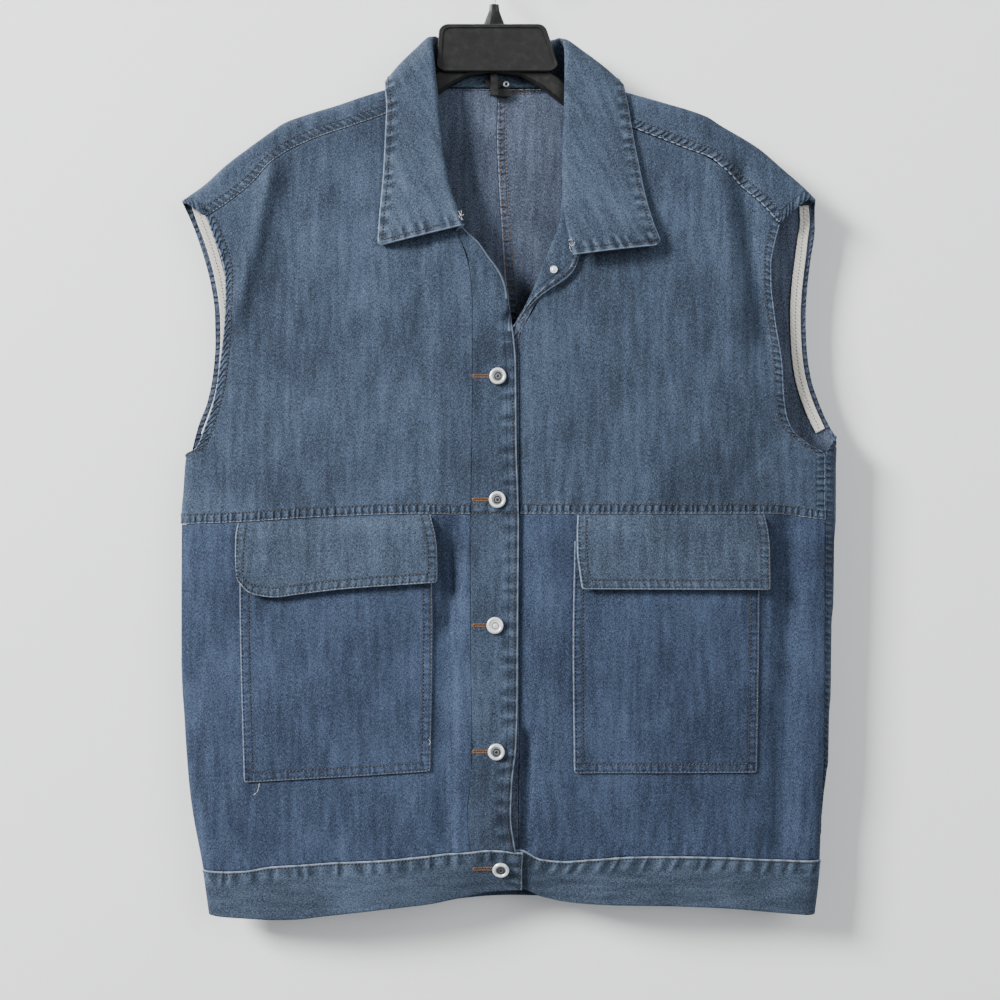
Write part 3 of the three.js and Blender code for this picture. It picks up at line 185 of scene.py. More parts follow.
# Finer creases, in the same columns.
CREASES = (
    (Side.FRONT, -262, -380, -196, -430, -1.1, 7),
    (Side.FRONT, -150, -205, -168, -330, 1.2, 9),
    (Side.FRONT, -120, -300, -100, -500, -0.9, 14),
    (Side.FRONT, -180, -420, -150, -520, 0.9, 13),
    (Side.FRONT, 120, -330, 150, -500, 0.9, 15),
    (Side.FRONT, 190, -400, 176, -520, -0.9, 12),
    (Side.FRONT, 92, -360, 84, -500, 0.8, 9),
    (Side.FRONT, 262, -470, 220, -525, -1.2, 8),
    (Side.FRONT, -264, -470, -230, -520, -1.2, 8),
    (Side.FRONT, -262, -640, -258, -800, 1.1, 10),
    (Side.FRONT, 31, -752, 31, -846, -7, 6),
    (Side.FRONT, 79, -798, 124, -860, -2.4, 3.6),
    (Side.FRONT, -8, -330, -4, -850, -3.2, 44),
    (Side.FRONT, -43, -560, -44, -842, -4, 12),
    (Side.FRONT, 52, -610, 76, -800, 2.6, 17),
    (Side.FRONT, -36, -562, -40, -640, -3, 8),
    (Side.FRONT, 62, -345, 96, -420, -3, 12),
    (Side.FRONT, -64, -300, -56, -460, -2.4, 10),
    (Side.FRONT, 270, -556, 276, -640, -2.5, 9),
    (Side.FRONT, 46, -800, 58, -846, 1.4, 7),
    (Side.FRONT, 130, -812, 160, -850, 1.3, 9),
    (Side.FRONT, -130, -806, -150, -852, -1.2, 8),
    (Side.FRONT, -70, -800, -92, -848, 1.2, 8),
    (Side.FRONT, 226, -806, 240, -852, 1.4, 8),
    (Side.BACK, -90, -160, -130, -330, 1.1, 10),
    (Side.BACK, 96, -160, 140, -340, 1.1, 10),
    (Side.BACK, -40, -300, -60, -640, -1.0, 16),
    (Side.BACK, 70, -320, 60, -680, -1.0, 16),
    (Side.BACK, -220, -480, -150, -560, -1.2, 9),
    (Side.BACK, 250, -480, 180, -560, -1.2, 9),
    (Side.BACK, -230, -700, -200, -850, 1.4, 12),
    (Side.BACK, 240, -700, 214, -850, 1.4, 12),
)
TUCK = {"x": 10, "z": -853, "reach": 70, "slope": 0.42}
# The cloth's slight unevenness: waves across and up, each bent by a slower one.
RIPPLE = {"rise": 0.35, "across": 21, "up": 33, "slow_across": 39, "slow_up": 47, "bend_across": 1.3,
          "bend_up": 1.1}

SHOULDER = {
    Half.LEFT: Table("x z", (-268.9, -264), (-242.9, -247), (-219, -226), (-204, -210), (-176, -194.3),
                     (-153.7, -186), (-131, -178.6), (-106, -169.7), (-81, -160)),
    Half.RIGHT: Table("x z", (266.5, -271.5), (247.4, -250), (231.9, -236), (210.3, -217), (197.8, -208),
                      (179.3, -201), (160.7, -193.6), (133.6, -183.3), (99, -168)),
}
ARMHOLE_FRONT = {
    Half.LEFT: Table("x z", (-294, -489), (-284, -487), (-274, -468.8), (-261.6, -435.4), (-255.4, -396.5),
                     (-251.1, -355.7), (-251.1, -320.3), (-254.6, -302.5), (-261.6, -284.4), (-268.9, -264)),
    Half.RIGHT: Table("x z", (307.5, -487.5), (298.8, -479.7), (286.4, -470.9), (276.6, -460.3), (271, -441),
                      (268.3, -399.9), (261.5, -355.7), (258, -314), (261.5, -290), (266.5, -271.5)),
}
ARMHOLE_BACK = {
    Half.LEFT: Table("x z", (-286, -488), (-284.5, -472), (-276, -450), (-268.2, -424.4), (-264, -388),
                     (-263.8, -355.6), (-268.9, -319.4), (-280, -281.4), (-290.5, -255), (-293.8, -246.4)),
    Half.RIGHT: Table("x z", (321.9, -471.5), (319.5, -463), (307.2, -436.9), (298, -406), (294.5, -360.8),
                      (295.5, -333.6), (300.9, -286.4), (303.8, -262), (302.3, -245.5)),
}
NECK = {
    Half.LEFT: Table("x z", (-33, -283), (-44, -258), (-58, -229), (-71, -192), (-81, -160)),
    Half.RIGHT: Table("x z", (70.5, -270), (78, -254), (87, -229), (94, -198), (99, -168)),
}
NECK_BACK = {
    Half.LEFT: Table("x z", (4.5, -139.6), (-35, -139.2), (-60, -138.6), (-76, -136), (-81, -113.2)),
    Half.RIGHT: Table("x z", (4.5, -139.6), (48, -139.4), (75, -139.2), (93, -137.4), (99, -109.8)),
}
PLACKET_SEAM = {
    Half.LEFT: Table("x z", (-21.5, -852), (-24.5, -816), (-20, -770), (-21.3, -656), (-21.3, -548),
                     (-20, -430), (-20.1, -345), (-24, -305), (-33, -283), (-39, -269)),
    Half.RIGHT: Table("x z", (23.4, -852), (23.4, -700), (23.4, -541), (23.4, -380), (37, -352), (50, -326),
                      (61, -296), (70.5, -270)),
}
WAIST = Table("x z", (-296, -551), (-240, -549), (-160, -544), (-60, -541), (60, -541), (255, -541),
              (309, -547))
BAND_FRONT = {
    Half.LEFT: Table("x top hem", (-280, -874, -916), (-246, -874.5, -918), (-206, -868.8, -919),
                     (-154, -864.2, -913.5), (-103, -861.5, -908), (-62, -857, -904), (-31, -853.5, -897.5),
                     (0, -851.6, -892.4), (26, -854, -891)),
    Half.RIGHT: Table("x top hem", (-22, -854, -893), (23.4, -852, -892), (40, -860, -898),
                      (57, -862.8, -902), (88, -860.7, -903.8), (149, -857.8, -904.4),
                      (211, -859.3, -907), (272, -863.4, -913), (307, -865, -917)),
}
BAND_BACK = Table("x top hem", (-280, -874, -916), (-150, -870, -916), (-60, -863, -908), (14, -857, -902),
                  (100, -860, -906), (160, -864, -911), (307, -865, -916))
CENTRE_BACK = Table("x z", (16, -857), (16, -600), (15, -400), (9.2, -300), (5.4, -249), (0.8, -139.6))
PLACKET = {"width": 44.0, "roll": 3.6}
PLACKET_EDGE = Table(
    "z x",
    (-854, 20.5), (-816, 16), (-774, 18.3), (-735, 22), (-656, 22.6), (-548, 23.4), (-482, 21.4),
    (-400, 20.6), (-376, 18.6), (-355, 15.6), (-333, 12.5), (-319, 7.8), (-304, -2.7), (-288, -14.3),
    (-281, -22.5), (-275, -28), (-269, -33.5),
)
# The under placket's fold below the lapel, and the lapel: its join, the line it folds on and its free edge.
UNDER_FOLD = Table("z x", (-852, -19), (-490, -19), (-436, -18), (-404, -6), (-378, 10))
LAPEL = Table(
    "x z xf zf xe ze",
    (26.5, -370, 19, -365.5, 25, -361), (34, -355, 28, -349, 36, -346),
    (45, -333, 37.5, -329.5, 50, -334.5), (54.5, -310, 46, -308, 61, -327.5),
    (62.4, -289, 54, -288, 70.5, -320.5), (69, -270, 61, -268.5, 75, -314),
    (71.5, -256, 62.2, -254, 80, -300), (73.5, -244, 64, -240, 84, -285),
)
# Collar sections: neck seam (n), roll (r), outer edge (e), the way each faces, the roll's rise and
# what lies under.
COLLAR = Table(
    "xn zn xr zr xe ze turn rise bulk",
    (-34, -279.5, -27, -275, -108.5, -294, 0, 11, 5), (-41, -261, -33.5, -258, -106.8, -266, 0, 9.5, 3.5),
    (-56, -229, -42.3, -227, -103.5, -226, 0, 8, 1), (-69, -192, -47.3, -190, -101.8, -190, 0, 8, 0),
    (-77, -169, -51.5, -154, -100.5, -163, 4, 9, 1.5),
    (-77.5, -153, -53.6, -121, -100.4, -150.5, 22, 11.5, 5),
    (-74.5, -140.5, -54.8, -101, -100.5, -140.6, 60, 9, 2.4),
    (-69, -135.2, -52, -95, -97, -136.5, 110, 8, 2.1),
    (-58, -137.2, -44, -93, -83, -150, 158, 8, 1.4), (-34, -138.1, -24, -92, -50, -163, 178, 8, 0),
    (4.5, -138.6, 3, -92, 4, -166, 180, 8, 0), (46, -138.3, 32, -92.5, 62, -163, 178, 8, 0),
    (72, -137.4, 49, -94, 97, -154, 158, 8, 3.2), (87, -135.2, 57, -97, 111, -137.5, 110, 8, 3.4),
    (91, -141, 61.5, -104, 118.5, -142.4, 60, 9, 3.6), (94.5, -155, 64, -122, 123.5, -158, 22, 11, 3),
    (96, -177, 64.8, -160, 130, -191, 4, 9, 1), (91.5, -203, 63, -205, 136, -222, 0, 8, 0),
    (84, -232, 62.8, -240, 141, -247, 0, 8, 0), (78, -262, 65, -268, 147.5, -271, 0, 11.5, 7),
    (80, -288, 69.8, -290, 154, -289, 0, 13, 8), (81, -300, 72.4, -303.5, 153, -293.5, 0, 13, 8),
)


def clamp01(f: np.ndarray) -> np.ndarray:
    """Hold values between 0 and 1."""
    return np.clip(f, 0.0, 1.0)


def mix(a, b, f):
    """Mix two values by a share."""
    return a + (b - a) * f


def smooth(f: np.ndarray) -> np.ndarray:
    """Ease a share in and out."""
    t = clamp01(f)
    return t * t * (3 - 2 * t)


def rises(lines: tuple, side: Side, x: np.ndarray, z: np.ndarray) -> np.ndarray:
    """Add up the soft ridges and troughs of one side.

    Args:
        lines: Rows of side, x0, z0, x1, z1, rise and reach.
        side: The layer they are read for.
        x: Places across.
        z: Places up.

    Returns:
        The rise at each place.
    """
    total = np.zeros(np.broadcast(x, z).shape)
    for on, x0, z0, x1, z1, rise, reach in lines:
        if on != side:
            continue
        dx, dz = x1 - x0, z1 - z0
        f = clamp01(((x - x0) * dx + (z - z0) * dz) / (dx * dx + dz * dz))
        off = np.hypot(x - mix(x0, x1, f), (z - mix(z0, z1, f)) * FOLD_STRETCH)
        total += rise * np.exp(-((off / reach) ** 2))
    return total


def depth_of(side: Side, x: np.ndarray, z: np.ndarray) -> np.ndarray:
    """Tell how far a layer stands from the middle plane, folds apart."""
    left, right = SIDES.read("z", z, "left"), SIDES.read("z", z, "right")
    across = np.abs(x - (left + right) / 2) / ((right - left) / 2)
    swell = SWELL.read("z", z, "front" if side == Side.FRONT else "back")
    depth = LAYER_DEPTH[side] + swell * (1 - np.minimum(across, 1) ** SWELL_POWER)
    depth = depth + rises(FOLDS, side, x, z) + rises(CREASES, side, x, z)
    wave = RIPPLE
    depth += (wave["rise"] * np.sin(x / wave["across"] + wave["bend_across"] * np.sin(z / wave["slow_up"]))
              * np.sin(z / wave["up"] + wave["bend_up"] * np.sin(x / wave["slow_across"])))
    if side == Side.FRONT:
        lean = TUCK["slope"] * np.exp(-(((x - TUCK["x"]) / TUCK["reach"]) ** 2))
        depth = depth - lean * np.maximum(TUCK["z"] - z, 0)
    return depth


def fullness(distance: np.ndarray, rounding: float) -> np.ndarray:
    """Follow a quarter ellipse: how full a layer is at a distance from its fold."""
    return np.sqrt(1 - (1 - clamp01(distance / rounding)) ** 2)


def place(flat: np.ndarray, side: Side) -> np.ndarray:
    """Put flat places on the body; what passes a fold goes on onto the other side.

    Args:
        flat: Flat places (x, z), in the last axis.
        side: The side they are counted from.

    Returns:
        Points (x, y, z) in millimetres.
    """
    x, z = flat[..., 0].copy(), flat[..., 1].copy()
    facing = np.full(x.shape, int(side))
    ridge = RIDGE.read("x", x, "z")
    over = z > ridge
    z = np.where(over, 2 * ridge - z, z)
    facing = np.where(over, -facing, facing)
    left, right = SIDES.read("z", z, "left"), SIDES.read("z", z, "right")
    turned = (x < left) | (x > right)
    x = np.where(x < left, 2 * left - x, np.where(x > right, 2 * right - x, x))
    facing = np.where(turned, -facing, facing)
    full = fullness(np.minimum(x - left, right - x), FOLD_ROUND) * fullness(ridge - z, RIDGE_ROUND)
    depth = np.where(facing == Side.FRONT, depth_of(Side.FRONT, x, z), depth_of(Side.BACK, x, z))
    return np.stack([x, facing * depth * full, z], -1)


def unit(v: np.ndarray) -> np.ndarray:
    """Scale vectors in the last axis to length one."""
    return v / np.maximum(np.linalg.norm(v, axis=-1, keepdims=True), 1e-9)


def outward(flat: np.ndarray, side: Side) -> np.ndarray:
    """Give the outward normals of flat places."""
    across, up = np.array([NORMAL_STEP, 0]), np.array([0, NORMAL_STEP])
    du = place(flat + across, side) - place(flat - across, side)
    dv = place(flat + up, side) - place(flat - up, side)
    return unit(np.cross(du, dv)) * (1 if side == Side.FRONT else -1)


def climb(x: np.ndarray, z: np.ndarray) -> np.ndarray:
    """Tell how far the left front climbs over the under placket as it nears its join."""
    near = smooth((x + STACK_JOIN + STACK_REACH) / STACK_REACH)
    return STACK_RISE * near * smooth((STACK_TOP - z) / STACK_FADE)


def lay(x: np.ndarray, z: np.ndarray) -> np.ndarray:
    """Give the lift of the front faces: only the left half climbs."""
    return np.where(x < 0, climb(x, z), 0.0)


def even(count: int) -> np.ndarray:
    """Cut 0 to 1 evenly."""
    return np.linspace(0, 1, count + 1)


def run_of(line: np.ndarray) -> np.ndarray:
    """Measure the length along a line up to each of its points."""
    return np.r_[0, np.cumsum(np.linalg.norm(np.diff(line, axis=0), axis=1))]


def read_at(at: np.ndarray, run: np.ndarray, points: np.ndarray) -> np.ndarray:
    """Read places on a line of points, straight from one to the next, by the length run."""
    return np.stack([np.interp(at, run, points[:, k]) for k in range(points.shape[1])], 1)


def along(points: np.ndarray, shares: np.ndarray) -> np.ndarray:
    """Follow a centripetal spline through points, cut at shares of its length.

    Args:
        points: The places it passes through.
        shares: Shares of its length, 0 to 1.

    Returns:
        The places there.
    """
    p = np.vstack([2 * points[0] - points[1], points, 2 * points[-1] - points[-2]])
    pieces = []
    for k in range(1, len(p) - 2):
        a, b, c, d = p[k - 1:k + 3]
        t0, t1, t2 = (math.sqrt(np.linalg.norm(v)) for v in (b - a, c - b, d - c))
        m1 = ((b - a) / t0 - (c - a) / (t0 + t1) + (c - b) / t1) * t1
        m2 = ((c - b) / t1 - (d - b) / (t1 + t2) + (d - c) / t2) * t1
        f = np.linspace(0, 1, 40, endpoint=False)[:, None]
        pieces.append((2 * f**3 - 3 * f**2 + 1) * b + (f**3 - 2 * f**2 + f) * m1
                      + (3 * f**2 - 2 * f**3) * c + (f**3 - f**2) * m2)
    curve = np.vstack(pieces + [points[-1:]])
    run = run_of(curve)
    return read_at(np.clip(shares, 0, 1) * run[-1], run, curve)


def patch(bottom: np.ndarray, top: np.ndarray, left: np.ndarray, right: np.ndarray) -> np.ndarray:
    """Fill four edge lines with a grid of places, rows from bottom to top.

    Args:
        bottom: The bottom edge, from left to right.
        top: The top edge, as many places as the bottom.
        left: The left edge, from the bottom up.
        right: The right edge, as many places as the left.

    Returns:
        A grid (rows, columns, 2).
    """
    ub, ut, vl, vr = (run_of(line) / run_of(line)[-1] for line in (bottom, top, left, right))
    v = vl[:, None] + (vr - vl)[:, None] * ((ub + ut) / 2)[None, :]
    u = ub[None, :] + (ut - ub)[None, :] * v
    v, u = v[..., None], u[..., None]
    return ((1 - v) * bottom[None] + v * top[None] + (1 - u) * left[:, None] + u * right[:, None]
            - (1 - u) * (1 - v) * bottom[0] - u * (1 - v) * bottom[-1]
            - (1 - u) * v * top[0] - u * v * top[-1])


EDGE_STOPS = (0.8, 2.0)


def refine(grid: np.ndarray, step: float) -> np.ndarray:
    """Cut a coarse grid finer along smooth lines, with two close rows inside each edge.

    Args:
        grid: Coarse places (rows, columns, any).
        step: About how far apart the fine ones lie.

    Returns:
        The fine grid.
    """
    for axis in (0, 1):
        moved = np.moveaxis(grid, axis, 0)
        cells = np.linalg.norm(np.diff(moved, axis=0), axis=-1).mean(axis=1)
        spots = [np.linspace(k, k + 1, max(1, math.ceil(c / step)), endpoint=False)
                 for k, c in enumerate(cells)]
        spots = np.concatenate(spots + [[len(cells)]])
        run = np.r_[0, np.cumsum(cells)]
        ends = np.array([*EDGE_STOPS, *(run[-1] - np.array(EDGE_STOPS))])
        spots = np.unique(np.round(np.r_[spots, np.interp(ends, run, np.arange(len(run)))], 4))
        grid = np.moveaxis(hermite(np.arange(len(run), dtype=float), moved, spots), 0, axis)
    return grid


def grid_normals(points: np.ndarray, hint: tuple, at: tuple) -> np.ndarray:
    """Work out a grid's normals from its own neighbours.

    Args:
        points: The grid of points.
        hint: A direction that the normal agrees with at one place.
        at: That place, as shares of the rows and the columns.

    Returns:
        Unit normals.
    """
    normals = unit(np.cross(np.gradient(points, axis=1), np.gradient(points, axis=0)))
    j, i = (round(s * (n - 1)) for s, n in zip(at, points.shape))
    return normals * (1 if np.dot(normals[j, i], hint) > 0 else -1)


def inset(points: np.ndarray, by: float) -> np.ndarray:
    """Draw a grid's outer rows and columns in, so that neighbours keep their gap."""
    out = points.copy()
    for edge, inner in ((np.s_[0], np.s_[1]), (np.s_[-1], np.s_[-2])):
        out[edge] += unit(out[inner] - out[edge]) * by
        out[:, edge] += unit(out[:, inner] - out[:, edge]) * by
    return out


class Edge(Enum):
    """An edge of a grid: its first or last row, or its first or last column."""

    FIRST_ROW = "first_row"
    LAST_ROW = "last_row"
    FIRST_COLUMN = "first_column"
    LAST_COLUMN = "last_column"


FAR = 90.0
NO_ROW = -9.0
ROW_STEP = 1.5


@dataclass
class Sheet:
    """A sewn piece as a grid of outer points, all in millimetres.

    Attributes:
        name: The piece's name.
        points: Outer points (rows, columns, 3).
        normals: Outward normals there.
        thick: The cloth's thickness.
        sewn: The edges that are sewn or turned, whose seams pucker.
        worn: The folded edges whose dye has rubbed off.
        gauge: How far the two rows of stitches lie inside the sewn edges.
        period: How far apart the puckers are.
        pucker: How strong the puckers are, and how far from the edge they reach.
        crest: Distances from a rubbed crest that isn't an edge, if there is one.
        cross: Distances above a seam that crosses the piece, if there is one.
        square: The edges that aren't rounded, since they meet a neighbour.
        grain: Turns the weave, in degrees.
    """

    name: str
    points: np.ndarray
    normals: np.ndarray
    thick: float
    sewn: tuple = tuple(Edge)
    worn: tuple = ()
    gauge: tuple = (1.8, 8.6)
    period: float = 8.0
    pucker: tuple = (0.5, 9.0)
    crest: np.ndarray | None = None
    cross: np.ndarray | None = None
    square: tuple = ()
    grain: float = 0.0

    def from_edge(self, edge: Edge) -> np.ndarray:
        """Measure how far each point lies from an edge, along the cloth."""
        rows = edge in (Edge.FIRST_ROW, Edge.LAST_ROW)
        axis = 0 if rows else 1
        points = np.moveaxis(self.points, axis, 0)
        if edge in (Edge.LAST_ROW, Edge.LAST_COLUMN):
            run = run_grid(points[::-1])[::-1]
        else:
            run = run_grid(points)
        return np.moveaxis(run, 0, axis)

    def round_corners(self, radius: float, *corners: tuple) -> None:
        """Draw corners in to an arc, within the cloth's own surface.

        Args:
            radius: The arc's radius.
            corners: Pairs of edges that meet there.
        """
        shift = np.zeros_like(self.points)
        for pair in corners:
            near = [clamp01(1 - self.from_edge(edge) / radius) for edge in pair]
            for edge, own, other in zip(pair, near, near[::-1]):
                axis = 0 if edge in (Edge.FIRST_ROW, Edge.LAST_ROW) else 1
                sign = -1 if edge in (Edge.LAST_ROW, Edge.LAST_COLUMN) else 1
                inward = unit(np.gradient(self.points, axis=axis)) * sign
                shift += inward * (radius * own * (1 - np.sqrt(1 - other**2 / 2)))[..., None]
        self.points = self.points + shift

    def row(self, edge: Edge, inset_by: float, trim: tuple = (0.0, 0.0)) -> tuple:
        """Give a line that runs beside an edge.

        Args:
            edge: The edge it follows.
            inset_by: How far inside.
            trim: What is left out at its start and end.

        Returns:
            Its points and the normals there.
        """
        run = self.from_edge(edge)
        points, normals = self.points, self.normals
        if edge in (Edge.FIRST_COLUMN, Edge.LAST_COLUMN):
            run, points, normals = run.T, points.transpose(1, 0, 2), normals.transpose(1, 0, 2)
        if edge in (Edge.LAST_ROW, Edge.LAST_COLUMN):
            run, points, normals = run[::-1], points[::-1], normals[::-1]
        k = np.clip((run < inset_by).sum(axis=0) - 1, 0, len(run) - 2)
        i = np.arange(points.shape[1])
        f = ((inset_by - run[k, i]) / (run[k + 1, i] - run[k, i] + 1e-9))[:, None]
        line = mix(points[k, i], points[k + 1, i], f)
        facing = unit(mix(normals[k, i], normals[k + 1, i], f))
        length = run_of(line)
        count = max(2, int(length[-1] / ROW_STEP))
        keep = np.linspace(trim[0], max(length[-1] - trim[1], trim[0] + 1), count)
        return read_at(keep, length, line), unit(read_at(keep, length, facing))


def run_grid(points: np.ndarray) -> np.ndarray:
    """Measure the length along the first axis up to each point of a grid."""
    steps = np.linalg.norm(np.diff(points, axis=0), axis=-1)
    return np.concatenate([np.zeros((1,) + steps.shape[1:]), np.cumsum(steps, axis=0)])


class Graph:
    """A material's node graph, built with short calls."""

    def __init__(self, name: str) -> None:
        """Start an empty material with its output node."""
        self.material = bpy.data.materials.new(name)
        self.material.use_nodes = True
        self.tree = self.material.node_tree
        self.tree.nodes.clear()
        self.output = self.tree.nodes.new("ShaderNodeOutputMaterial")

    def put(self, socket, value) -> None:
        """Link a socket to another one, or set its value."""
        if isinstance(value, bpy.types.NodeSocket):
            self.tree.links.new(value, socket)
        elif value is not None:
            socket.default_value = value

    def add(self, kind: str, inputs: dict, **settings) -> bpy.types.Node:
        """Add a node.

        Args:
            kind: The node's type name.
            inputs: Values or sockets by input name or number.
            settings: Settings of the node itself.

        Returns:
            The node.
        """
        node = self.tree.nodes.new(kind)
        for key, value in settings.items():
            setattr(node, key, value)
        for key, value in inputs.items():
            self.put(node.inputs[key], value)
        return node

    def math(self, operation: str, a, b=None, c=None, clamp: bool = False):
        """Compute with one, two or three numbers."""
        return self.add("ShaderNodeMath", {0: a, 1: b, 2: c}, operation=operation, use_clamp=clamp).outputs[0]

    def total(self, *terms):
        """Add several numbers."""
        out = terms[0]
        for term in terms[1:]:
            out = self.math("ADD", out, term)
        return out

    def attribute(self, name: str):
        """Read a vector attribute of the mesh and give its three parts."""
        vector = self.add("ShaderNodeAttribute", {}, attribute_name=name).outputs["Vector"]
        return self.add("ShaderNodeSeparateXYZ", {0: vector}).outputs

    def vector(self, x, y, z=0.0):
        """Join three numbers."""
        return self.add("ShaderNodeCombineXYZ", {0: x, 1: y, 2: z}).outputs[0]

    def noise(self, vector, scale: float, detail: float = 2.0, roughness: float = 0.55):
        """Read a noise texture between 0 and 1."""
        return self.add("ShaderNodeTexNoise", {"Vector": vector, "Scale": scale, "Detail": detail,
                                               "Roughness": roughness}).outputs["Fac"]

    def blend(self, share, a, b):
        """Mix two colours."""
        node = self.add("ShaderNodeMix", {}, data_type="RGBA")
        for key, value in ((0, share), (6, a), (7, b)):
            self.put(node.inputs[key], value)
        return node.outputs[2]

    def ease(self, value, low: float, high: float, to_low: float = 0.0, to_high: float = 1.0):
        """Map a range smoothly onto another."""
        return self.add("ShaderNodeMapRange", {0: value, 1: low, 2: high, 3: to_low, 4: to_high},
                        interpolation_type="SMOOTHSTEP").outputs[0]

    def bump(self, height, distance: float, strength: float = 1.0, below=None):
        """Turn a height into a normal, over an earlier normal."""
        return self.add("ShaderNodeBump", {"Height": height, "Distance": distance, "Strength": strength,
                                           "Normal": below}).outputs[0]

    def finish(self, **inputs) -> bpy.types.Material:
        """Add the surface shader and close the graph."""
        names = {k.replace("_", " ").title().replace("Ior", "IOR"): v for k, v in inputs.items()}
        shader = self.add("ShaderNodeBsdfPrincipled", names)
        self.tree.links.new(shader.outputs[0], self.output.inputs[0])
        return self.material


def srgb(red: float, green: float, blue: float) -> tuple:
    """Turn a screen colour of 0 to 255 into a linear one."""
    parts = (c / 255 for c in (red, green, blue))
    return tuple(c / 12.92 if c <= 0.04045 else ((c + 0.055) / 1.055) ** 2.4 for c in parts) + (1.0,)


@dataclass(frozen=True)
class DenimFinish:
    """A washed denim: yarns dyed on the face, worn pale where seams rub, with painted shade along its stitch
    rows.

    Attributes:
        name: The material's name.
        dark: The dyed warp yarn.
        pale: Where the dye has worn off.
        pucker: How deep the seam puckers are, in metres.
        fade: How much the seams' crests fade.
        mean: How worn it is as a whole.
        grain: How uneven its yarns are.
    """

    name: str
    dark: tuple
    pale: tuple
    pucker: float = 0.0008
    fade: float = 0.13
    mean: float = 0.2
    grain: float = 0.44

    def build(self) -> bpy.types.Material:
        """Build the node graph: weave, slubs, seam puckers, worn edges, and painted shade along the stitch
        rows.

        Returns:
            The material.
        """
        g = Graph(self.name)
        weave = g.add("ShaderNodeUVMap", {}, uv_map="weave").outputs[0]
        u, v, _ = g.add("ShaderNodeSeparateXYZ", {0: weave}).outputs
        place_of = g.add("ShaderNodeTexCoord", {}).outputs["Object"]
        rubbed, inner_row, outer_row = g.attribute("rubbed")
        amount, reach, _ = g.attribute("puckers")
        crests, grooves = [], []
        for name in ("rows", "columns"):
            first, last, run = g.attribute(name)
            for k, distance in enumerate((first, last)):
                near = g.ease(g.math("DIVIDE", distance, reach), 1.15, 0.6)
                slant = g.math("MULTIPLY", distance, 1 / 80)
                wander = g.noise(g.vector(g.math("MULTIPLY", run, 0.55), slant, 17.0 * k), 1.0, 1.0)
                phase = g.total(run, slant, g.math("MULTIPLY", wander, 1.6))
                swing = g.ease(g.noise(g.vector(run, 5.0, 17.0 * k), 0.8, 1.0), 0.3, 0.6, 0.4, 1.0)
                wave = g.math("SINE", g.math("MULTIPLY", phase, 2 * math.pi))
                crests.append(g.math("MULTIPLY", wave, g.math("MULTIPLY", swing, near)))
                # Each stitch row sinks a groove: a dip in the bump and painted shade in the colour.
                for row in (inner_row, outer_row):
                    off = g.math("DIVIDE", g.math("SUBTRACT", distance, row), 0.85)
                    square = g.math("MULTIPLY", g.math("MULTIPLY", off, off), -1.0)
                    grooves.append(g.math("POWER", 2.718, square))
        crest = g.math("MULTIPLY", g.total(*crests), amount)
        groove = g.total(*grooves)
        broken = g.ease(g.noise(place_of, 120, 3), 0.34, 0.6)
        edge = g.math("MULTIPLY", g.ease(rubbed, 1.7, 0.6), g.math("MULTIPLY_ADD", broken, 0.3, 0.7))
        warp = g.noise(g.vector(g.math("MULTIPLY", u, 1.5), g.math("MULTIPLY", v, 0.42)), 1.0, 2, 0.7)
        weft = g.noise(g.vector(g.math("MULTIPLY", u, 0.45), g.math("MULTIPLY", v, 1.5)), 1.0, 2, 0.7)
        fleck = g.noise(g.vector(u, v, 5.0), 1.7, 1, 0.5)
        streak = g.noise(g.vector(g.math("MULTIPLY", u, 0.16), g.math("MULTIPLY", v, 0.02)), 1.0, 3, 0.6)
        cloud = g.noise(place_of, 12.0, 4, 0.6)
        grain = g.total(g.math("MULTIPLY_ADD", warp, 2.6, -1.3), g.math("MULTIPLY_ADD", weft, 1.6, -0.8),
                        g.math("MULTIPLY_ADD", fleck, 2.4, -1.2))
        shade = g.total(grain, g.math("MULTIPLY_ADD", streak, 1.2, -0.6),
                        g.math("MULTIPLY_ADD", cloud, 1.3, -0.65))
        # The tone: worn crests, yarn grain and mottling, darker along the stitch grooves as painted shade.
        tone_and_groove_shade = g.total(g.math("MULTIPLY", crest, self.fade),
                        g.math("MULTIPLY_ADD", shade, self.grain, self.mean),
                        g.math("MULTIPLY", groove, -0.1))
        colour = g.blend(g.math("MAXIMUM", tone_and_groove_shade, 0.0, clamp=True), self.dark, self.pale)
        fray = tuple(mix(c, 0.5, 0.15) for c in self.pale[:3]) + (1.0,)
        colour = g.blend(g.math("MULTIPLY", edge, 0.8), colour, fray)
        yarn = g.bump(grain, 0.0002, 0.6)
        normal = g.bump(g.total(crest, g.math("MULTIPLY", groove, -0.35)), self.pucker, 1.0, yarn)
        return g.finish(base_color=colour, roughness=0.9, normal=normal, sheen_weight=0.12,
                        sheen_roughness=0.45, sheen_tint=self.pale, specular_ior_level=0.2)


@dataclass(frozen=True)
class ThreadFinish:
    """A sewing thread or a tape: fibres with a fine twist.

    Attributes:
        name: The material's name.
        colour: Its colour.
        shade: The painted shade colour in the twist's hollows.
        twist: Twist lines to the metre.
    """

    name: str
    colour: tuple
    shade: tuple
    twist: float = 1400.0

    def build(self) -> bpy.types.Material:
        """Build the node graph: a diagonal twist with painted shade in its hollows, and uneven dye.

        Returns:
            The material.
        """
        g = Graph(self.name)
        place_of = g.add("ShaderNodeTexCoord", {}).outputs["Object"]
        wave = g.add("ShaderNodeTexWave", {"Vector": place_of, "Scale": self.twist / 6.28, "Distortion": 1.5},
                     bands_direction="DIAGONAL").outputs["Fac"]
        uneven = g.noise(place_of, 420, 3)
        # The twist's hollows take the darker colour as painted shade; the noise is uneven dye.
        share = g.math("MULTIPLY_ADD", wave, 0.5, g.math("MULTIPLY", uneven, 0.5), clamp=True)
        normal = g.bump(share, 0.0002, 0.7)
        return g.finish(base_color=g.blend(share, self.shade, self.colour), roughness=0.78, normal=normal,
                        sheen_weight=0.3, specular_ior_level=0.3)


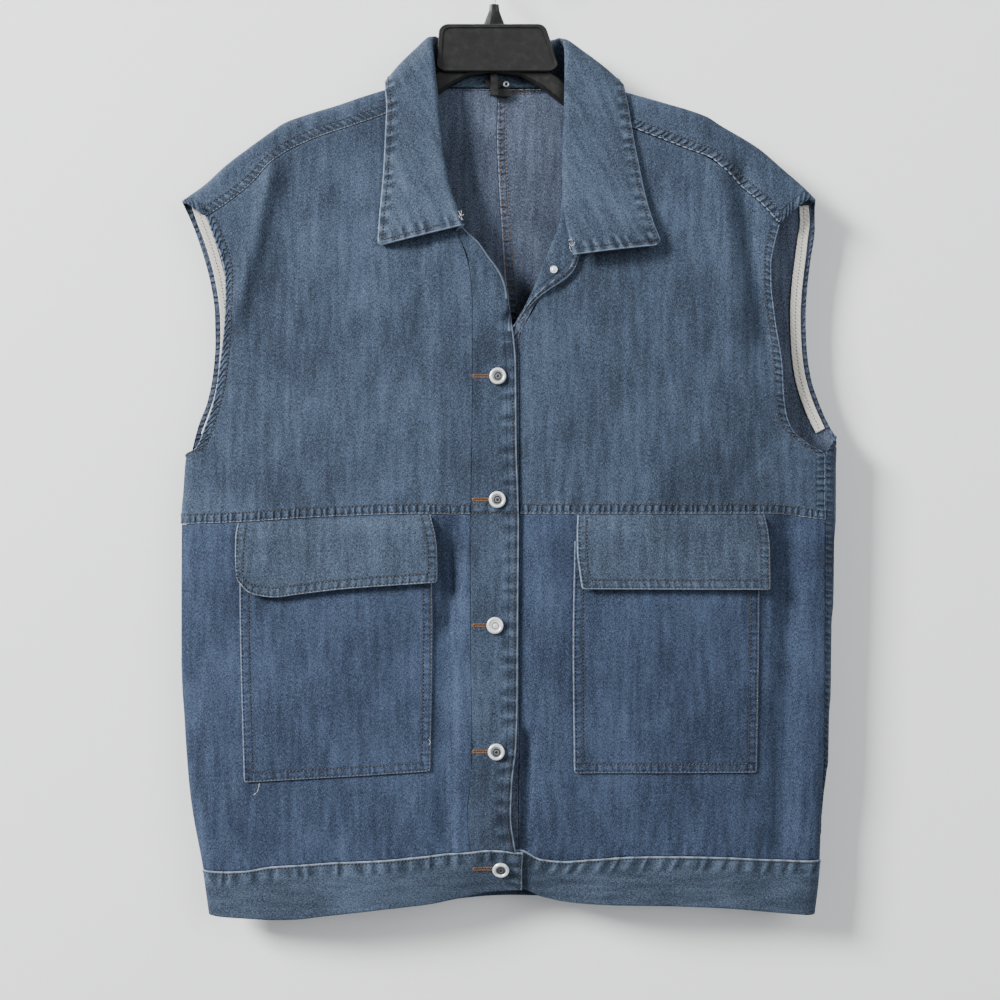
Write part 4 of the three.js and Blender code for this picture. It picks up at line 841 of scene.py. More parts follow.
@dataclass(frozen=True)
class HardFinish:
    """A metal or a plastic with handling marks.

    Attributes:
        name: The material's name.
        colour: Its colour.
        metallic: 1 for a metal.
        roughness: Its mean roughness.
        marks: How much the roughness and the surface vary.
        tarnish: The colour of its dull places.
    """

    name: str
    colour: tuple
    metallic: float
    roughness: float
    marks: float
    tarnish: tuple

    def build(self) -> bpy.types.Material:
        """Build the node graph: fine grain, scratches and dull places.

        Returns:
            The material.
        """
        g = Graph(self.name)
        place_of = g.add("ShaderNodeTexCoord", {}).outputs["Object"]
        grain = g.noise(place_of, 2200, 2)
        dull = g.noise(place_of, 120, 4, 0.65)
        stretched = g.add("ShaderNodeMapping", {"Vector": place_of, "Scale": (260, 2400, 1100)}).outputs[0]
        scratch = g.ease(g.noise(stretched, 1.0, 2), 0.6, 0.75)
        rough = g.total(self.roughness, g.math("MULTIPLY", g.math("SUBTRACT", dull, 0.5), self.marks),
                        g.math("MULTIPLY", scratch, self.marks * 0.6))
        colour = g.blend(g.ease(dull, 0.5, 0.75), self.colour, self.tarnish)
        normal = g.bump(g.total(grain, g.math("MULTIPLY", scratch, -0.6)), 0.00004, self.marks)
        return g.finish(base_color=colour, metallic=self.metallic, roughness=rough, normal=normal)


DENIM_UPPER = DenimFinish("denim_upper", srgb(31, 38, 50), srgb(102, 120, 146))
DENIM_BAND = DenimFinish("denim_band", srgb(29, 36, 48), srgb(100, 118, 143), fade=0.15, mean=0.17)
DENIM_LOWER = DenimFinish("denim_lower", srgb(28, 35, 50), srgb(95, 113, 144))
DENIM_WORN = DenimFinish("denim_worn", srgb(33, 41, 53), srgb(108, 126, 150), fade=0.18, mean=0.2)
DENIM_INSIDE = DenimFinish("denim_inside", srgb(40, 47, 60), srgb(124, 137, 162), fade=0.08)
THREAD_DARK = ThreadFinish("thread_dark", srgb(50, 47, 48), srgb(22, 21, 23))
THREAD_BROWN = ThreadFinish("thread_brown", srgb(112, 84, 62), srgb(60, 44, 34))
THREAD_RUST = ThreadFinish("thread_rust", srgb(134, 92, 52), srgb(66, 46, 30))
THREAD_WHITE = ThreadFinish("thread_white", srgb(226, 224, 218), srgb(176, 172, 166))
COTTON_TAPE = ThreadFinish("cotton_tape", srgb(222, 219, 211), srgb(176, 172, 163), 900)
NICKEL = HardFinish("nickel", srgb(240, 242, 244), 0.4, 0.3, 0.12, srgb(204, 205, 208))
GREY_METAL = HardFinish("grey_metal", srgb(132, 135, 138), 0.6, 0.4, 0.2, srgb(84, 84, 86))
DARK_METAL = HardFinish("dark_metal", srgb(52, 52, 54), 0.8, 0.42, 0.2, srgb(30, 30, 31))
STEEL = HardFinish("steel", srgb(196, 197, 200), 1.0, 0.2, 0.12, srgb(150, 148, 146))
PLASTIC = HardFinish("plastic", srgb(13, 13, 13), 0.0, 0.36, 0.18, srgb(34, 33, 32))
PLASTIC_FACE = HardFinish("plastic_face", srgb(15, 15, 14), 0.0, 0.4, 0.2, srgb(26, 26, 24))
WALL = HardFinish("wall", (0.93, 0.935, 0.93, 1.0), 0.0, 0.92, 0.05, (0.92, 0.925, 0.92, 1.0))


class Palette:
    """Builds each finish once."""

    _built: dict = {}

    @classmethod
    def of(cls, finish) -> bpy.types.Material:
        """Give a finish's material."""
        if finish.name not in cls._built:
            cls._built[finish.name] = finish.build()
        return cls._built[finish.name]


def mesh_object(name: str, points: np.ndarray, faces: list, finish) -> bpy.types.Object:
    """Make a smooth-shaded object from points in millimetres.

    Args:
        name: The piece's name.
        points: Points (n, 3).
        faces: Lists of point numbers.
        finish: Its finish.

    Returns:
        The object, linked to the scene.
    """
    mesh = bpy.data.meshes.new(name)
    mesh.from_pydata((points * MM).tolist(), [], faces)
    mesh.materials.append(Palette.of(finish))
    mesh.polygons.foreach_set("use_smooth", [True] * len(mesh.polygons))
    obj = bpy.data.objects.new(name, mesh)
    bpy.context.scene.collection.objects.link(obj)
    return obj


@dataclass(frozen=True)
class Cut:
    """What a sheet was cut to, in metres, and its area where it isn't a rectangle."""

    size: tuple
    area: float | None = None


class Cloth:
    """Turns sheets into closed cloth walls that ride on the body."""

    EASE = 1.2
    RIM_OUTER = 0.3
    RIM_INNER = 0.15

    def __init__(self, sheet: Sheet, bands: tuple = ()) -> None:
        """Raise the seam bands of a sheet.

        Args:
            sheet: The sheet.
            bands: Rows of edge, width and lift where the cloth is folded double.
        """
        self.sheet = sheet
        points = sheet.points.copy()
        for edge, width, lift in bands:
            step = smooth((width + self.EASE / 2 - sheet.from_edge(edge)) / self.EASE)
            points += sheet.normals * (step * lift)[..., None]
        sheet.points = points

    def build(self, finish, slot: str = "denim", lining=None) -> bpy.types.Object:
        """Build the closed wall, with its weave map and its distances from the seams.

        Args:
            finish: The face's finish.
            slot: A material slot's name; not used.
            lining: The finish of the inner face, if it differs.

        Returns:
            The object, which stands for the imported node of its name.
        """
        sheet = self.sheet
        h, w = sheet.points.shape[:2]
        outer, inner = sheet.points.copy(), sheet.points - sheet.normals * sheet.thick
        rim = self._rim(h, w)
        outer[rim] -= sheet.normals[rim] * sheet.thick * self.RIM_OUTER
        inner[rim] += sheet.normals[rim] * sheet.thick * self.RIM_INNER
        ids = np.arange(h * w).reshape(h, w)
        face = np.stack([ids[:-1, :-1], ids[:-1, 1:], ids[1:, 1:], ids[1:, :-1]], -1).reshape(-1, 4)
        loop = np.r_[ids[0], ids[1:, -1], ids[-1, -2::-1], ids[-2:0:-1, 0]]
        after = np.roll(loop, -1)
        side = np.stack([loop, loop + h * w, after + h * w, after], 1)
        first, right, up = sheet.points[0, 0], sheet.points[0, 1], sheet.points[1, 0]
        faces = np.vstack([face, face[:, ::-1] + h * w, side])
        if np.cross(right - first, up - first) @ sheet.normals[0, 0] < 0:
            faces = faces[:, ::-1]
        points = np.vstack([outer.reshape(-1, 3), inner.reshape(-1, 3)])
        obj = mesh_object(sheet.name, points, faces.tolist(), finish)
        self._mark(obj.data, faces)
        if lining is not None:
            obj.data.materials.append(Palette.of(lining))
            which = np.zeros(len(faces), np.int32)
            which[len(face):2 * len(face)] = 1
            obj.data.polygons.foreach_set("material_index", which)
        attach(obj, "root")
        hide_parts(sheet.name)
        return obj

    def _rim(self, rows: int, columns: int) -> np.ndarray:
        """Mark the points of the rounded edges, all but the square ones."""
        rim = np.zeros((rows, columns), bool)
        rim[[0, -1]] = True
        rim[:, [0, -1]] = True
        for edge, column in ((Edge.FIRST_COLUMN, 0), (Edge.LAST_COLUMN, -1)):
            if edge in self.sheet.square:
                rim[1:-1, column] = False
        return rim

    def _mark(self, mesh: bpy.types.Mesh, faces: np.ndarray) -> None:
        """Write the distances from the sewn edges, the runs beside them and the weave map."""
        sheet = self.sheet
        runs = (run_grid(sheet.points.transpose(1, 0, 2)).T, run_grid(sheet.points))
        pairs = ((Edge.FIRST_ROW, Edge.LAST_ROW), (Edge.FIRST_COLUMN, Edge.LAST_COLUMN))
        for name, edges, run in zip(("rows", "columns"), pairs, runs):
            away = [sheet.from_edge(e) if e in sheet.sewn else np.full(run.shape, FAR) for e in edges]
            if sheet.cross is not None and Edge.FIRST_ROW in edges:
                away[0] = sheet.cross
            self._write(mesh, name, *away, run / sheet.period)
        far = np.full(runs[0].shape, FAR)
        marks = [sheet.from_edge(edge) for edge in sheet.worn]
        marks += [mark for mark in (sheet.crest, sheet.cross) if mark is not None]
        worn = np.minimum.reduce([far, *marks])
        self._write(mesh, "rubbed", worn, *(np.full(far.shape, g) for g in sheet.gauge))
        self._write(mesh, "puckers", *(np.full(far.shape, amount) for amount in sheet.pucker), far)
        turn = math.radians(sheet.grain)
        c, s = math.cos(turn), math.sin(turn)
        x, z = sheet.points[..., 0], sheet.points[..., 2]
        flat = np.stack([x * c + z * s, z * c - x * s], -1)
        flat = np.tile(flat.reshape(-1, 2), (2, 1)).astype(np.float32)
        layer = mesh.uv_layers.new(name="weave")
        layer.data.foreach_set("uv", flat[faces.ravel()].ravel())

    def _write(self, mesh: bpy.types.Mesh, name: str, *values: np.ndarray) -> None:
        """Write three numbers at each point, alike on the outer and the inner face."""
        rows = np.stack(values, -1).reshape(-1, 3).astype(np.float32)
        layer = mesh.attributes.new(name, "FLOAT_VECTOR", "POINT")
        layer.data.foreach_set("vector", np.vstack([rows, rows]).ravel())


STITCH_RINGS = ((-1.0, 0.3, -0.25), (-0.35, 1.0, 0.45), (0.35, 1.0, 0.45), (1.0, 0.3, -0.25))
STITCH_SIDES = 5


class Sewing:
    """Collects stitches and makes one object of each thread."""

    def __init__(self, name: str, finish) -> None:
        """Start with no stitches.

        Args:
            name: The name of the object that holds them.
            finish: The thread's finish.
        """
        self.name = name
        self.finish = finish
        self.parts: list = []

    def row(self, line: tuple, pitch: float = 3.3, length: float = 2.5, radius: float = 0.6) -> None:
        """Sew one row.

        Args:
            line: Points and normals along the row.
            pitch: From stitch to stitch.
            length: One stitch's length on the face.
            radius: The thread's radius.
        """
        points, normals = line
        run = run_of(points)
        count = max(1, int(run[-1] / pitch))
        middle = (np.arange(count) + 0.5) * run[-1] / count
        start, end = (read_at(middle + shift, run, points) for shift in (-length / 2, length / 2))
        self.add(start, end, read_at(middle, run, normals), radius)

    def add(self, start: np.ndarray, end: np.ndarray, up: np.ndarray, radius: float) -> None:
        """Add single stitches from their ends.

        Args:
            start: Where each goes in.
            end: Where each comes out.
            up: The cloth's normals there.
            radius: The thread's radius.
        """
        middle, half = (start + end) / 2, (end - start) / 2
        across = unit(np.cross(half, up))
        up = unit(np.cross(across, half))
        angles = np.arange(STITCH_SIDES) * 2 * math.pi / STITCH_SIDES
        rings = []
        for along_it, wide, lift in STITCH_RINGS:
            centre = middle + half * along_it + up * radius * lift
            for a in angles:
                rings.append(centre + (across * math.cos(a) + up * math.sin(a)) * radius * wide)
        self.parts.append(np.stack(rings, 1))

    def build(self, slot: str = "denim") -> bpy.types.Object:
        """Make the object that holds all the stitches of this thread."""
        points = np.concatenate(self.parts)
        sides, rings = STITCH_SIDES, len(STITCH_RINGS)
        faces = []
        for k in range(rings - 1):
            for i in range(sides):
                j = (i + 1) % sides
                faces.append([k * sides + i, k * sides + j, (k + 1) * sides + j, (k + 1) * sides + i])
        caps = [list(range(sides))[::-1], list(range((rings - 1) * sides, rings * sides))]
        starts = (np.arange(len(points)) * sides * rings)[:, None, None]
        quads, ends = ((np.array(few)[None] + starts).reshape(-1, len(few[0])).tolist()
                       for few in (faces, caps))
        obj = mesh_object(self.name, points.reshape(-1, 3), quads + ends, self.finish)
        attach(obj, "root")
        return obj


STOPS = {Half.LEFT: ((0, 0.012, 0.022, 0.04, 0.066, 0.1), 11), Half.RIGHT: ((0, 0.03, 0.066, 0.11), 12)}
SEAM_BACK = 4.0
RIGHT_SEAM = {"x": 309.4, "hem_x": 306.2, "top": -740, "fade": 110}
WAIST_END = {Half.LEFT: -551.0, Half.RIGHT: -547.0}
BAND_TOP_END = {Half.LEFT: -874.0, Half.RIGHT: -865.0}
JOIN_X = {Half.LEFT: -21.3, Half.RIGHT: 23.4}
NECK_JOIN = {Half.LEFT: -283, Half.RIGHT: -380}
ARM_ROWS = 12
LOWER_ROWS = 9
RIDGE_OFFSETS = (-13, -5, -1.6, 0, 1.6, 5, 14)
PANEL_STEP = 3.2
GAUGE = (1.7, 8.6)
SEAM_BAND = (9.4, 0.7)
NECK_BAND = (9.4, 0.5)
SEAM_PUCKERS = {"period": 6.3, "pucker": (1.25, 8.8)}


def stops_of(half: Half) -> np.ndarray:
    """Give the shares at which a half's level seams are cut, closer near its fold."""
    near, count = STOPS[half]
    return np.r_[near, mix(near[-1], 1, even(count)[1:])]


def level(x0: float, x1: float, shares: np.ndarray, table: Table, of: str) -> np.ndarray:
    """Run a level line whose height is read from a table."""
    x = mix(x0, x1, shares)
    return np.stack([x, table.read("x", x, of)], 1)


def rows_down(x_at, z0: float, z1: float, count: int) -> np.ndarray:
    """Run an upright line whose place across is worked out from its height."""
    z = mix(z0, z1, even(count))
    return np.stack([x_at(z), z], 1)


def fold(half: Half, z: np.ndarray) -> np.ndarray:
    """Read where a half's side fold lies."""
    return SIDES.read("z", z, half.value)


def side_seam(half: Half, z: np.ndarray) -> np.ndarray:
    """Give the side seam, counted on the front."""
    if half is Half.LEFT:
        return fold(half, z) - SEAM_BACK
    seam = RIGHT_SEAM
    return mix(seam["x"], seam["hem_x"], smooth((seam["top"] - z) / seam["fade"]))


def side_seam_behind(half: Half, z: np.ndarray) -> np.ndarray:
    """Give the side seam, counted on the back."""
    if half is Half.LEFT:
        return fold(half, z) + SEAM_BACK
    return 2 * fold(half, z) - side_seam(half, z)


def panel(name: str, places: np.ndarray, side: Side, lifts=None, **facts) -> Sheet:
    """Lay a patch of flat places on the body as a sheet.

    Args:
        name: The piece's name.
        places: Its coarse flat places.
        side: The side it lies on.
        lifts: How far it stands off at flat places, if at all.
        facts: Further facts of the sheet.

    Returns:
        The sheet.
    """
    fine = refine(places, PANEL_STEP)
    normals = outward(fine, side)
    lift = np.zeros(fine.shape[:2]) if lifts is None else lifts(fine[..., 0], fine[..., 1])
    points = inset(place(fine, side) + normals * lift[..., None], SEAM_INSET)
    return Sheet(name, points, normals, DENIM, **facts)


class HalfLines:
    """The seam lines of one half, which the front and the back share."""

    def __init__(self, half: Half) -> None:
        """Work the lines out.

        Args:
            half: Which half.
        """
        self.half = half
        self.join = PLACKET_SEAM[half]
        shares, neck_z = stops_of(half), NECK_JOIN[half]
        join_end, neck = self.join.of["x"][0], NECK[half].line()
        self.band = level(self._out(BAND_TOP_END[half]), join_end, shares, BAND_FRONT[half], "top")
        self.waist = level(self._out(WAIST_END[half]), JOIN_X[half], shares, WAIST, "z")
        self.shoulder = along(SHOULDER[half].line(), shares)
        self.lower_in = rows_down(self._join_x, self.band[-1, 1], self.waist[-1, 1], LOWER_ROWS)
        self.lower_out = rows_down(self._out, self.band[0, 1], self.waist[0, 1], LOWER_ROWS)
        flank = rows_down(self._out, self.waist[0, 1], ARMHOLE_FRONT[half].of["z"][0], 2)
        self.upper_out = np.vstack([flank, along(ARMHOLE_FRONT[half].line(), even(ARM_ROWS))[1:]])
        if half is Half.LEFT:
            inner = [rows_down(self._join_x, self.waist[-1, 1], neck_z, 8), along(neck, even(6))[1:]]
        else:
            inner = [rows_down(self._join_x, self.waist[-1, 1], neck_z, 6),
                     along(self.join.line(neck_z), even(3))[1:], along(neck, even(5))[1:]]
        self.upper_in = np.vstack(inner)

    def _out(self, z: np.ndarray) -> np.ndarray:
        """Read where the side seam lies, counted on the front."""
        return side_seam(self.half, z)

    def _join_x(self, z: np.ndarray) -> np.ndarray:
        """Read where the placket's seam lies."""
        return self.join.read("z", z, "x")

    def _behind(self, line: np.ndarray) -> np.ndarray:
        """Give a line's heights on the side seam, counted on the back."""
        return np.stack([side_seam_behind(self.half, line[:, 1]), line[:, 1]], 1)

    def back(self) -> np.ndarray:
        """Work out the back half's flat places, from the waistband over the ridge to the shoulder seam."""
        half, shares = self.half, stops_of(self.half)
        x, z = self.shoulder.T
        top = np.stack([x, 2 * RIDGE.read("x", x, "z") - z], 1)
        bottom = level(side_seam_behind(half, BAND_TOP_END[half]), CENTRE_BACK.of["x"][0], shares,
                       BAND_BACK, "top")
        armhole = ARMHOLE_BACK[half].line()
        if half is Half.RIGHT:
            front_x, front_z = ARMHOLE_FRONT[half].line()[0]
            armhole = np.vstack([[2 * fold(half, front_z) - front_x, front_z], armhole])
        arm = along(armhole, even(9))
        share = np.array([0.2, 0.5, 1.0])
        yoke_end = np.stack([mix(arm[-1, 0], top[0, 0], share), mix(arm[-1, 1], top[0, 1], share**1.1)], 1)
        outer = np.vstack([self._behind(self.lower_out), self._behind(self.upper_out[:3])[1:], arm[1:],
                           yoke_end])
        neck = along(NECK_BACK[half].line(), np.array([0, 0.25, 0.5, 0.68, 0.79, 0.86, 0.93, 1]))
        inner = np.vstack([along(CENTRE_BACK.line(), even(len(outer) - len(neck)))[:-1], neck])
        places = patch(bottom, top, outer, inner)
        ridge_row, columns = len(outer) - 4, len(bottom)
        share = even(columns - 1)
        edge = np.minimum(1, np.minimum(np.arange(columns), columns - 1 - np.arange(columns)) / 2)
        for j in range(ridge_row - 2, len(outer) - 1):
            ridge = RIDGE.read("x", places[j, :, 0], "z")
            above = places[j, :, 1] - ridge
            want = mix(mix(above[0], above[-1], share), RIDGE_OFFSETS[j - ridge_row + 3], edge)
            places[j, 1:-1, 1] = (ridge + want)[1:-1]
        return places


@dataclass
class Fronts:
    """The four front panels."""

    lines: dict
    dark: Sewing

    def build(self) -> None:
        """Build the panels and sew their seams."""
        for half, lines in self.lines.items():
            lifts = climb if half is Half.LEFT else None
            places = patch(lines.band, lines.waist, lines.lower_out, lines.lower_in)
            lower = panel(f"front_lower_{half.value}", places, Side.FRONT, lifts, sewn=(Edge.FIRST_ROW,),
                          gauge=(NO_ROW, NO_ROW), period=13.0, pucker=(0.4, 12.0),
                          square=(Edge.LAST_COLUMN,))
            places = patch(lines.waist, lines.shoulder, lines.upper_out, lines.upper_in)
            seams = (Edge.FIRST_ROW, Edge.FIRST_COLUMN)
            upper = panel(f"front_upper_{half.value}", places, Side.FRONT, lifts, sewn=seams, worn=seams,
                          square=(Edge.LAST_COLUMN,), **SEAM_PUCKERS)
            Cloth(lower).build(DENIM_LOWER, lining=DENIM_INSIDE)
            Cloth(upper, ((Edge.FIRST_ROW, *SEAM_BAND),)).build(DENIM_UPPER, lining=DENIM_INSIDE)
            for away in GAUGE:
                self.dark.row(upper.row(Edge.FIRST_ROW, away, (6, 2)))
            self.dark.row(upper.row(Edge.FIRST_COLUMN, GAUGE[1], (64, 6)))


@dataclass
class Backs:
    """The two back halves, each with its strip over the shoulder."""

    lines: dict
    dark: Sewing
    brown: Sewing

    CENTRE_GAUGE = (2.4, 9.2)
    CENTRE_RUN = 722.0
    NECK_RUN = 104.0

    def build(self) -> None:
        """Build the halves and sew the shoulder seams and the centre seam."""
        for half, lines in self.lines.items():
            centre = (Edge.LAST_COLUMN,) if half is Half.RIGHT else ()
            sheet = panel(f"back_{half.value}", lines.back(), Side.BACK, worn=(Edge.LAST_ROW, *centre),
                          sewn=(Edge.LAST_ROW, Edge.FIRST_COLUMN, *centre), **SEAM_PUCKERS)
            sheet.round_corners(5.0, (Edge.LAST_ROW, Edge.FIRST_COLUMN))
            bands = ((Edge.LAST_ROW, *SEAM_BAND), *((edge, *NECK_BAND) for edge in centre))
            Cloth(sheet, bands).build(DENIM_UPPER, lining=DENIM_INSIDE)
            for away in GAUGE:
                self.dark.row(sheet.row(Edge.LAST_ROW, away, (3, 3)))
            inside = Sheet("inside", sheet.points - sheet.normals * sheet.thick, -sheet.normals, DENIM)
            self.dark.row(inside.row(Edge.LAST_COLUMN, 2.6, (self.CENTRE_RUN, 14)))
            if half is Half.RIGHT:
                for away in self.CENTRE_GAUGE:
                    self.brown.row(sheet.row(Edge.LAST_COLUMN, away, (4, self.NECK_RUN)))
                    self.brown.row(inside.row(Edge.LAST_COLUMN, away, (4, self.NECK_RUN)))


@dataclass
class Plackets:
    """The two button bands: the top one rolls in at the neck, the under one turns out as a lapel."""

    dark: Sewing

    STOPS = (-852, -820, -788, -756, -722, -688, -654, -620, -586, -552, -518, -484, -452, -422, -400,
             -384, -372, -362, -352, -342, -332, -322, -312, -303, -295, -289, -284.5, -279, -274, -269)
    FOLD_RISE = (-DOUBLE, -DOUBLE, -1.9, 1.4, 4.8, 5.5, 5.1)
    JOIN_INSET = 0.1
    WAIST_Z = -541.0
    HEM = 3.8
    ROLL_Z = -372.0
    ROLL = {"start": 376, "over": 44}
    UNDER_CREST = 5.4

    def build(self) -> None:
        """Build both bands and sew them."""
        top = self._sheet("placket_top", self._top(), (0.3, 0.1))
        run = run_grid(top.points.transpose(1, 0, 2)).T
        brow = np.take_along_axis(run, top.points[..., 0].argmax(axis=1)[:, None], 1)
        second = np.abs(run - brow + self.HEM) + 0.3
        second[top.points[..., 2] < self.ROLL_Z] = FAR
        top.crest = np.minimum(np.abs(run - brow), second)
        top.square = (Edge.FIRST_COLUMN,)
        above = top.points[..., 2] - self.WAIST_Z
        top.cross = np.where(above >= 0, above, FAR)
        top.points += top.normals * (smooth((10 - top.cross) / 1.2) * 0.7)[..., None]
        top.sewn, top.period, top.pucker = (Edge.LAST_COLUMN,), 15.0, (0.9, 15.0)
        Cloth(top).build(DENIM_BAND, lining=DENIM_INSIDE)
        self.dark.row(top.row(Edge.LAST_COLUMN, self.HEM, (3, 190)))
        for away in GAUGE:
            self.dark.row(self._across(top, self.WAIST_Z + away))
        under = self._sheet("placket_under", self._under(), (0.29, 0.45), (0, 1, 0))
        under.worn, under.period = (Edge.LAST_COLUMN, Edge.LAST_ROW), 9.2
        edge = under.from_edge(Edge.LAST_COLUMN)
        under.crest = np.abs(edge - self.UNDER_CREST) + 0.6
        under.round_corners(5.0, (Edge.LAST_COLUMN, Edge.LAST_ROW))
        Cloth(under).build(DENIM_UPPER, lining=DENIM_INSIDE)
        self.dark.row(under.row(Edge.LAST_COLUMN, 4.2, (478, 3)))

    def _across(self, sheet: Sheet, z: float) -> tuple:
        """Give the level line across a band at a height."""
        j = int(np.abs(sheet.points[:, 2, 2] - z).argmin())
        span = slice(1, int(sheet.points[j, :, 0].argmax()))
        line, facing = sheet.points[j, span].copy(), sheet.normals[j, span]
        line[:, 2] = z
        return line, facing

    def _sheet(self, name: str, coarse: np.ndarray, at: tuple, hint: tuple = (0, -1, 0)) -> Sheet:
        """Refine a band's coarse points into a sheet."""
        points = inset(refine(coarse, 2.2), self.JOIN_INSET)
        return Sheet(name, points, grid_normals(points, hint, at), DOUBLE)

    def _top(self) -> np.ndarray:
        """Work out the top band's points, rolled in at the neck where its face narrows."""
        arc = math.pi * PLACKET["roll"]
        rows = []
        for j, z in enumerate(self.STOPS):
            seam = float(PLACKET_SEAM[Half.LEFT].read("z", z, "x"))
            shown = float(PLACKET_EDGE.read("z", z, "x")) - seam
            rolled = float(smooth((z + self.ROLL["start"]) / self.ROLL["over"]))
            turn = max(rolled * math.pi, 1e-3)
            radius = arc / turn
            tail = mix(3, min(max(PLACKET["width"] - shown - 6, 3), 13), rolled)
            reach = radius * math.sin(turn) + tail * math.cos(turn) if turn < math.pi / 2 else radius
            flat = shown - reach
            steps = [(flat * f, 0) for f in (0, 0.34, 0.67)]
            steps += [(flat + radius * math.sin(turn * f), radius * (1 - math.cos(turn * f)))
                      for f in (0, 0.25, 0.5, 0.75, 1)]
            steps.append((flat + radius * math.sin(turn) + tail * math.cos(turn),
                          radius * (1 - math.cos(turn)) + tail * math.sin(turn)))
            x = seam + np.array([dx for dx, _ in steps])
            height = BAND_FRONT[Half.LEFT].read("x", x, "top") if j == 0 else np.full(len(x), float(z))
            spots = np.stack([x, height], 1)
            drop = np.array([d for _, d in steps])
            rows.append(place(spots, Side.FRONT) + outward(spots, Side.FRONT) * (STACK_RISE - drop)[:, None])
        return np.array(rows)

    def _under(self) -> np.ndarray:
        """Work out the under band's points, its top turned out over its fold."""
        rows = []
        for z in (*range(-850, -430, 60), -404, -378):
            share = np.array([0, 0.17, 0.34, 0.5, 0.67, 0.84, 1])
            x = mix(JOIN_X[Half.RIGHT], float(UNDER_FOLD.read("z", z, "x")), share)
            height = BAND_FRONT[Half.RIGHT].read("x", x, "top") if z == -850 else np.full(7, float(z))
            spots = np.stack([x, height], 1)
            rows.append(place(spots, Side.FRONT) - outward(spots, Side.FRONT) * DOUBLE)
        for j in range(len(LAPEL.of["x"])):
            join, turn, end = (np.array([LAPEL.of[x][j], LAPEL.of[z][j]])
                               for x, z in (("x", "z"), ("xf", "zf"), ("xe", "ze")))
            turned = min((j + 1) / 4, 1)
            spots = np.array([join, mix(join, turn, 0.5), mix(join, turn, 0.88), turn, mix(turn, end, 0.1),
                              mix(turn, end, 0.5), end])
            lift = mix(-DOUBLE, np.array(self.FOLD_RISE), turned)
            rows.append(place(spots, Side.FRONT) + outward(spots, Side.FRONT) * lift[:, None])
        return np.array(rows)


@dataclass
class Collar:
    """The one-piece collar, folded at its roll."""

    dark: Sewing

    LIFTS = {"seam": -1.2, "stand": 0.0, "under": 0.6, "edge": 3.6}
    CENTRE_SECTION = 10
    STITCH_INSET = 5.0

    def build(self) -> None:
        """Build the collar and its topstitching."""
        points = inset(refine(self._coarse(), 2.4), SEAM_INSET)
        edges = (Edge.LAST_COLUMN, Edge.FIRST_ROW, Edge.LAST_ROW)
        sheet = Sheet("collar", points, grid_normals(points, (0, -1, 0), (3 / 21, 5 / 7)), DOUBLE, grain=24,
                      worn=edges, sewn=edges, gauge=(self.STITCH_INSET, NO_ROW), period=11.0,
                      pucker=(1.0, 13.0))
        sheet.round_corners(7.0, (Edge.LAST_COLUMN, Edge.FIRST_ROW), (Edge.LAST_COLUMN, Edge.LAST_ROW))
        Cloth(sheet).build(DENIM_WORN, slot="denim_pale", lining=DENIM_UPPER)
        self.dark.row(sheet.row(Edge.LAST_COLUMN, self.STITCH_INSET, (5, 5)))
        for edge in edges[1:]:
            self.dark.row(sheet.row(edge, self.STITCH_INSET, (34, 5)))

    def _coarse(self) -> np.ndarray:
        """Work out the collar's sections, each from the neck seam over the roll to the edge."""
        rows = []
        for j in range(len(COLLAR.of["xn"])):
            c = {k: float(v[j]) for k, v in COLLAR.of.items()}
            turn = math.radians(c["turn"])
            sideways = 0 if j == self.CENTRE_SECTION else (-1 if c["xr"] < 0 else 1)
            out = unit(np.array([sideways * math.sin(turn) * 0.55, -math.cos(turn), math.sin(turn) * 0.83]))
            first = [(0, self.LIFTS["seam"] + c["bulk"] * 0.6), (0.5, self.LIFTS["stand"] + c["bulk"]),
                     (0.9, self.LIFTS["under"] + c["bulk"]), (1, mix(c["bulk"], c["rise"], 0.5))]
            last = [(0.06, c["rise"] * 0.97), (0.35, c["rise"]), (0.7, c["rise"] * 0.8 + c["bulk"] * 0.2),
                    (1, self.LIFTS["edge"] + c["bulk"] * 0.35)]
            spots = [(mix(c["xn"], c["xr"], f), mix(c["zn"], c["zr"], f), lift) for f, lift in first]
            spots += [(mix(c["xr"], c["xe"], f), mix(c["zr"], c["ze"], f), lift) for f, lift in last]
            x, z, lift = np.array(spots).T
            if turn < math.pi / 2:
                depth = depth_of(Side.FRONT, x, z) + climb(x, z) * 0.9
            else:
                depth = depth_of(Side.BACK, x, z)
            base = np.stack([x, -math.cos(turn) * depth, z], 1)
            rows.append(base + out * lift[:, None])
        return np.array(rows)


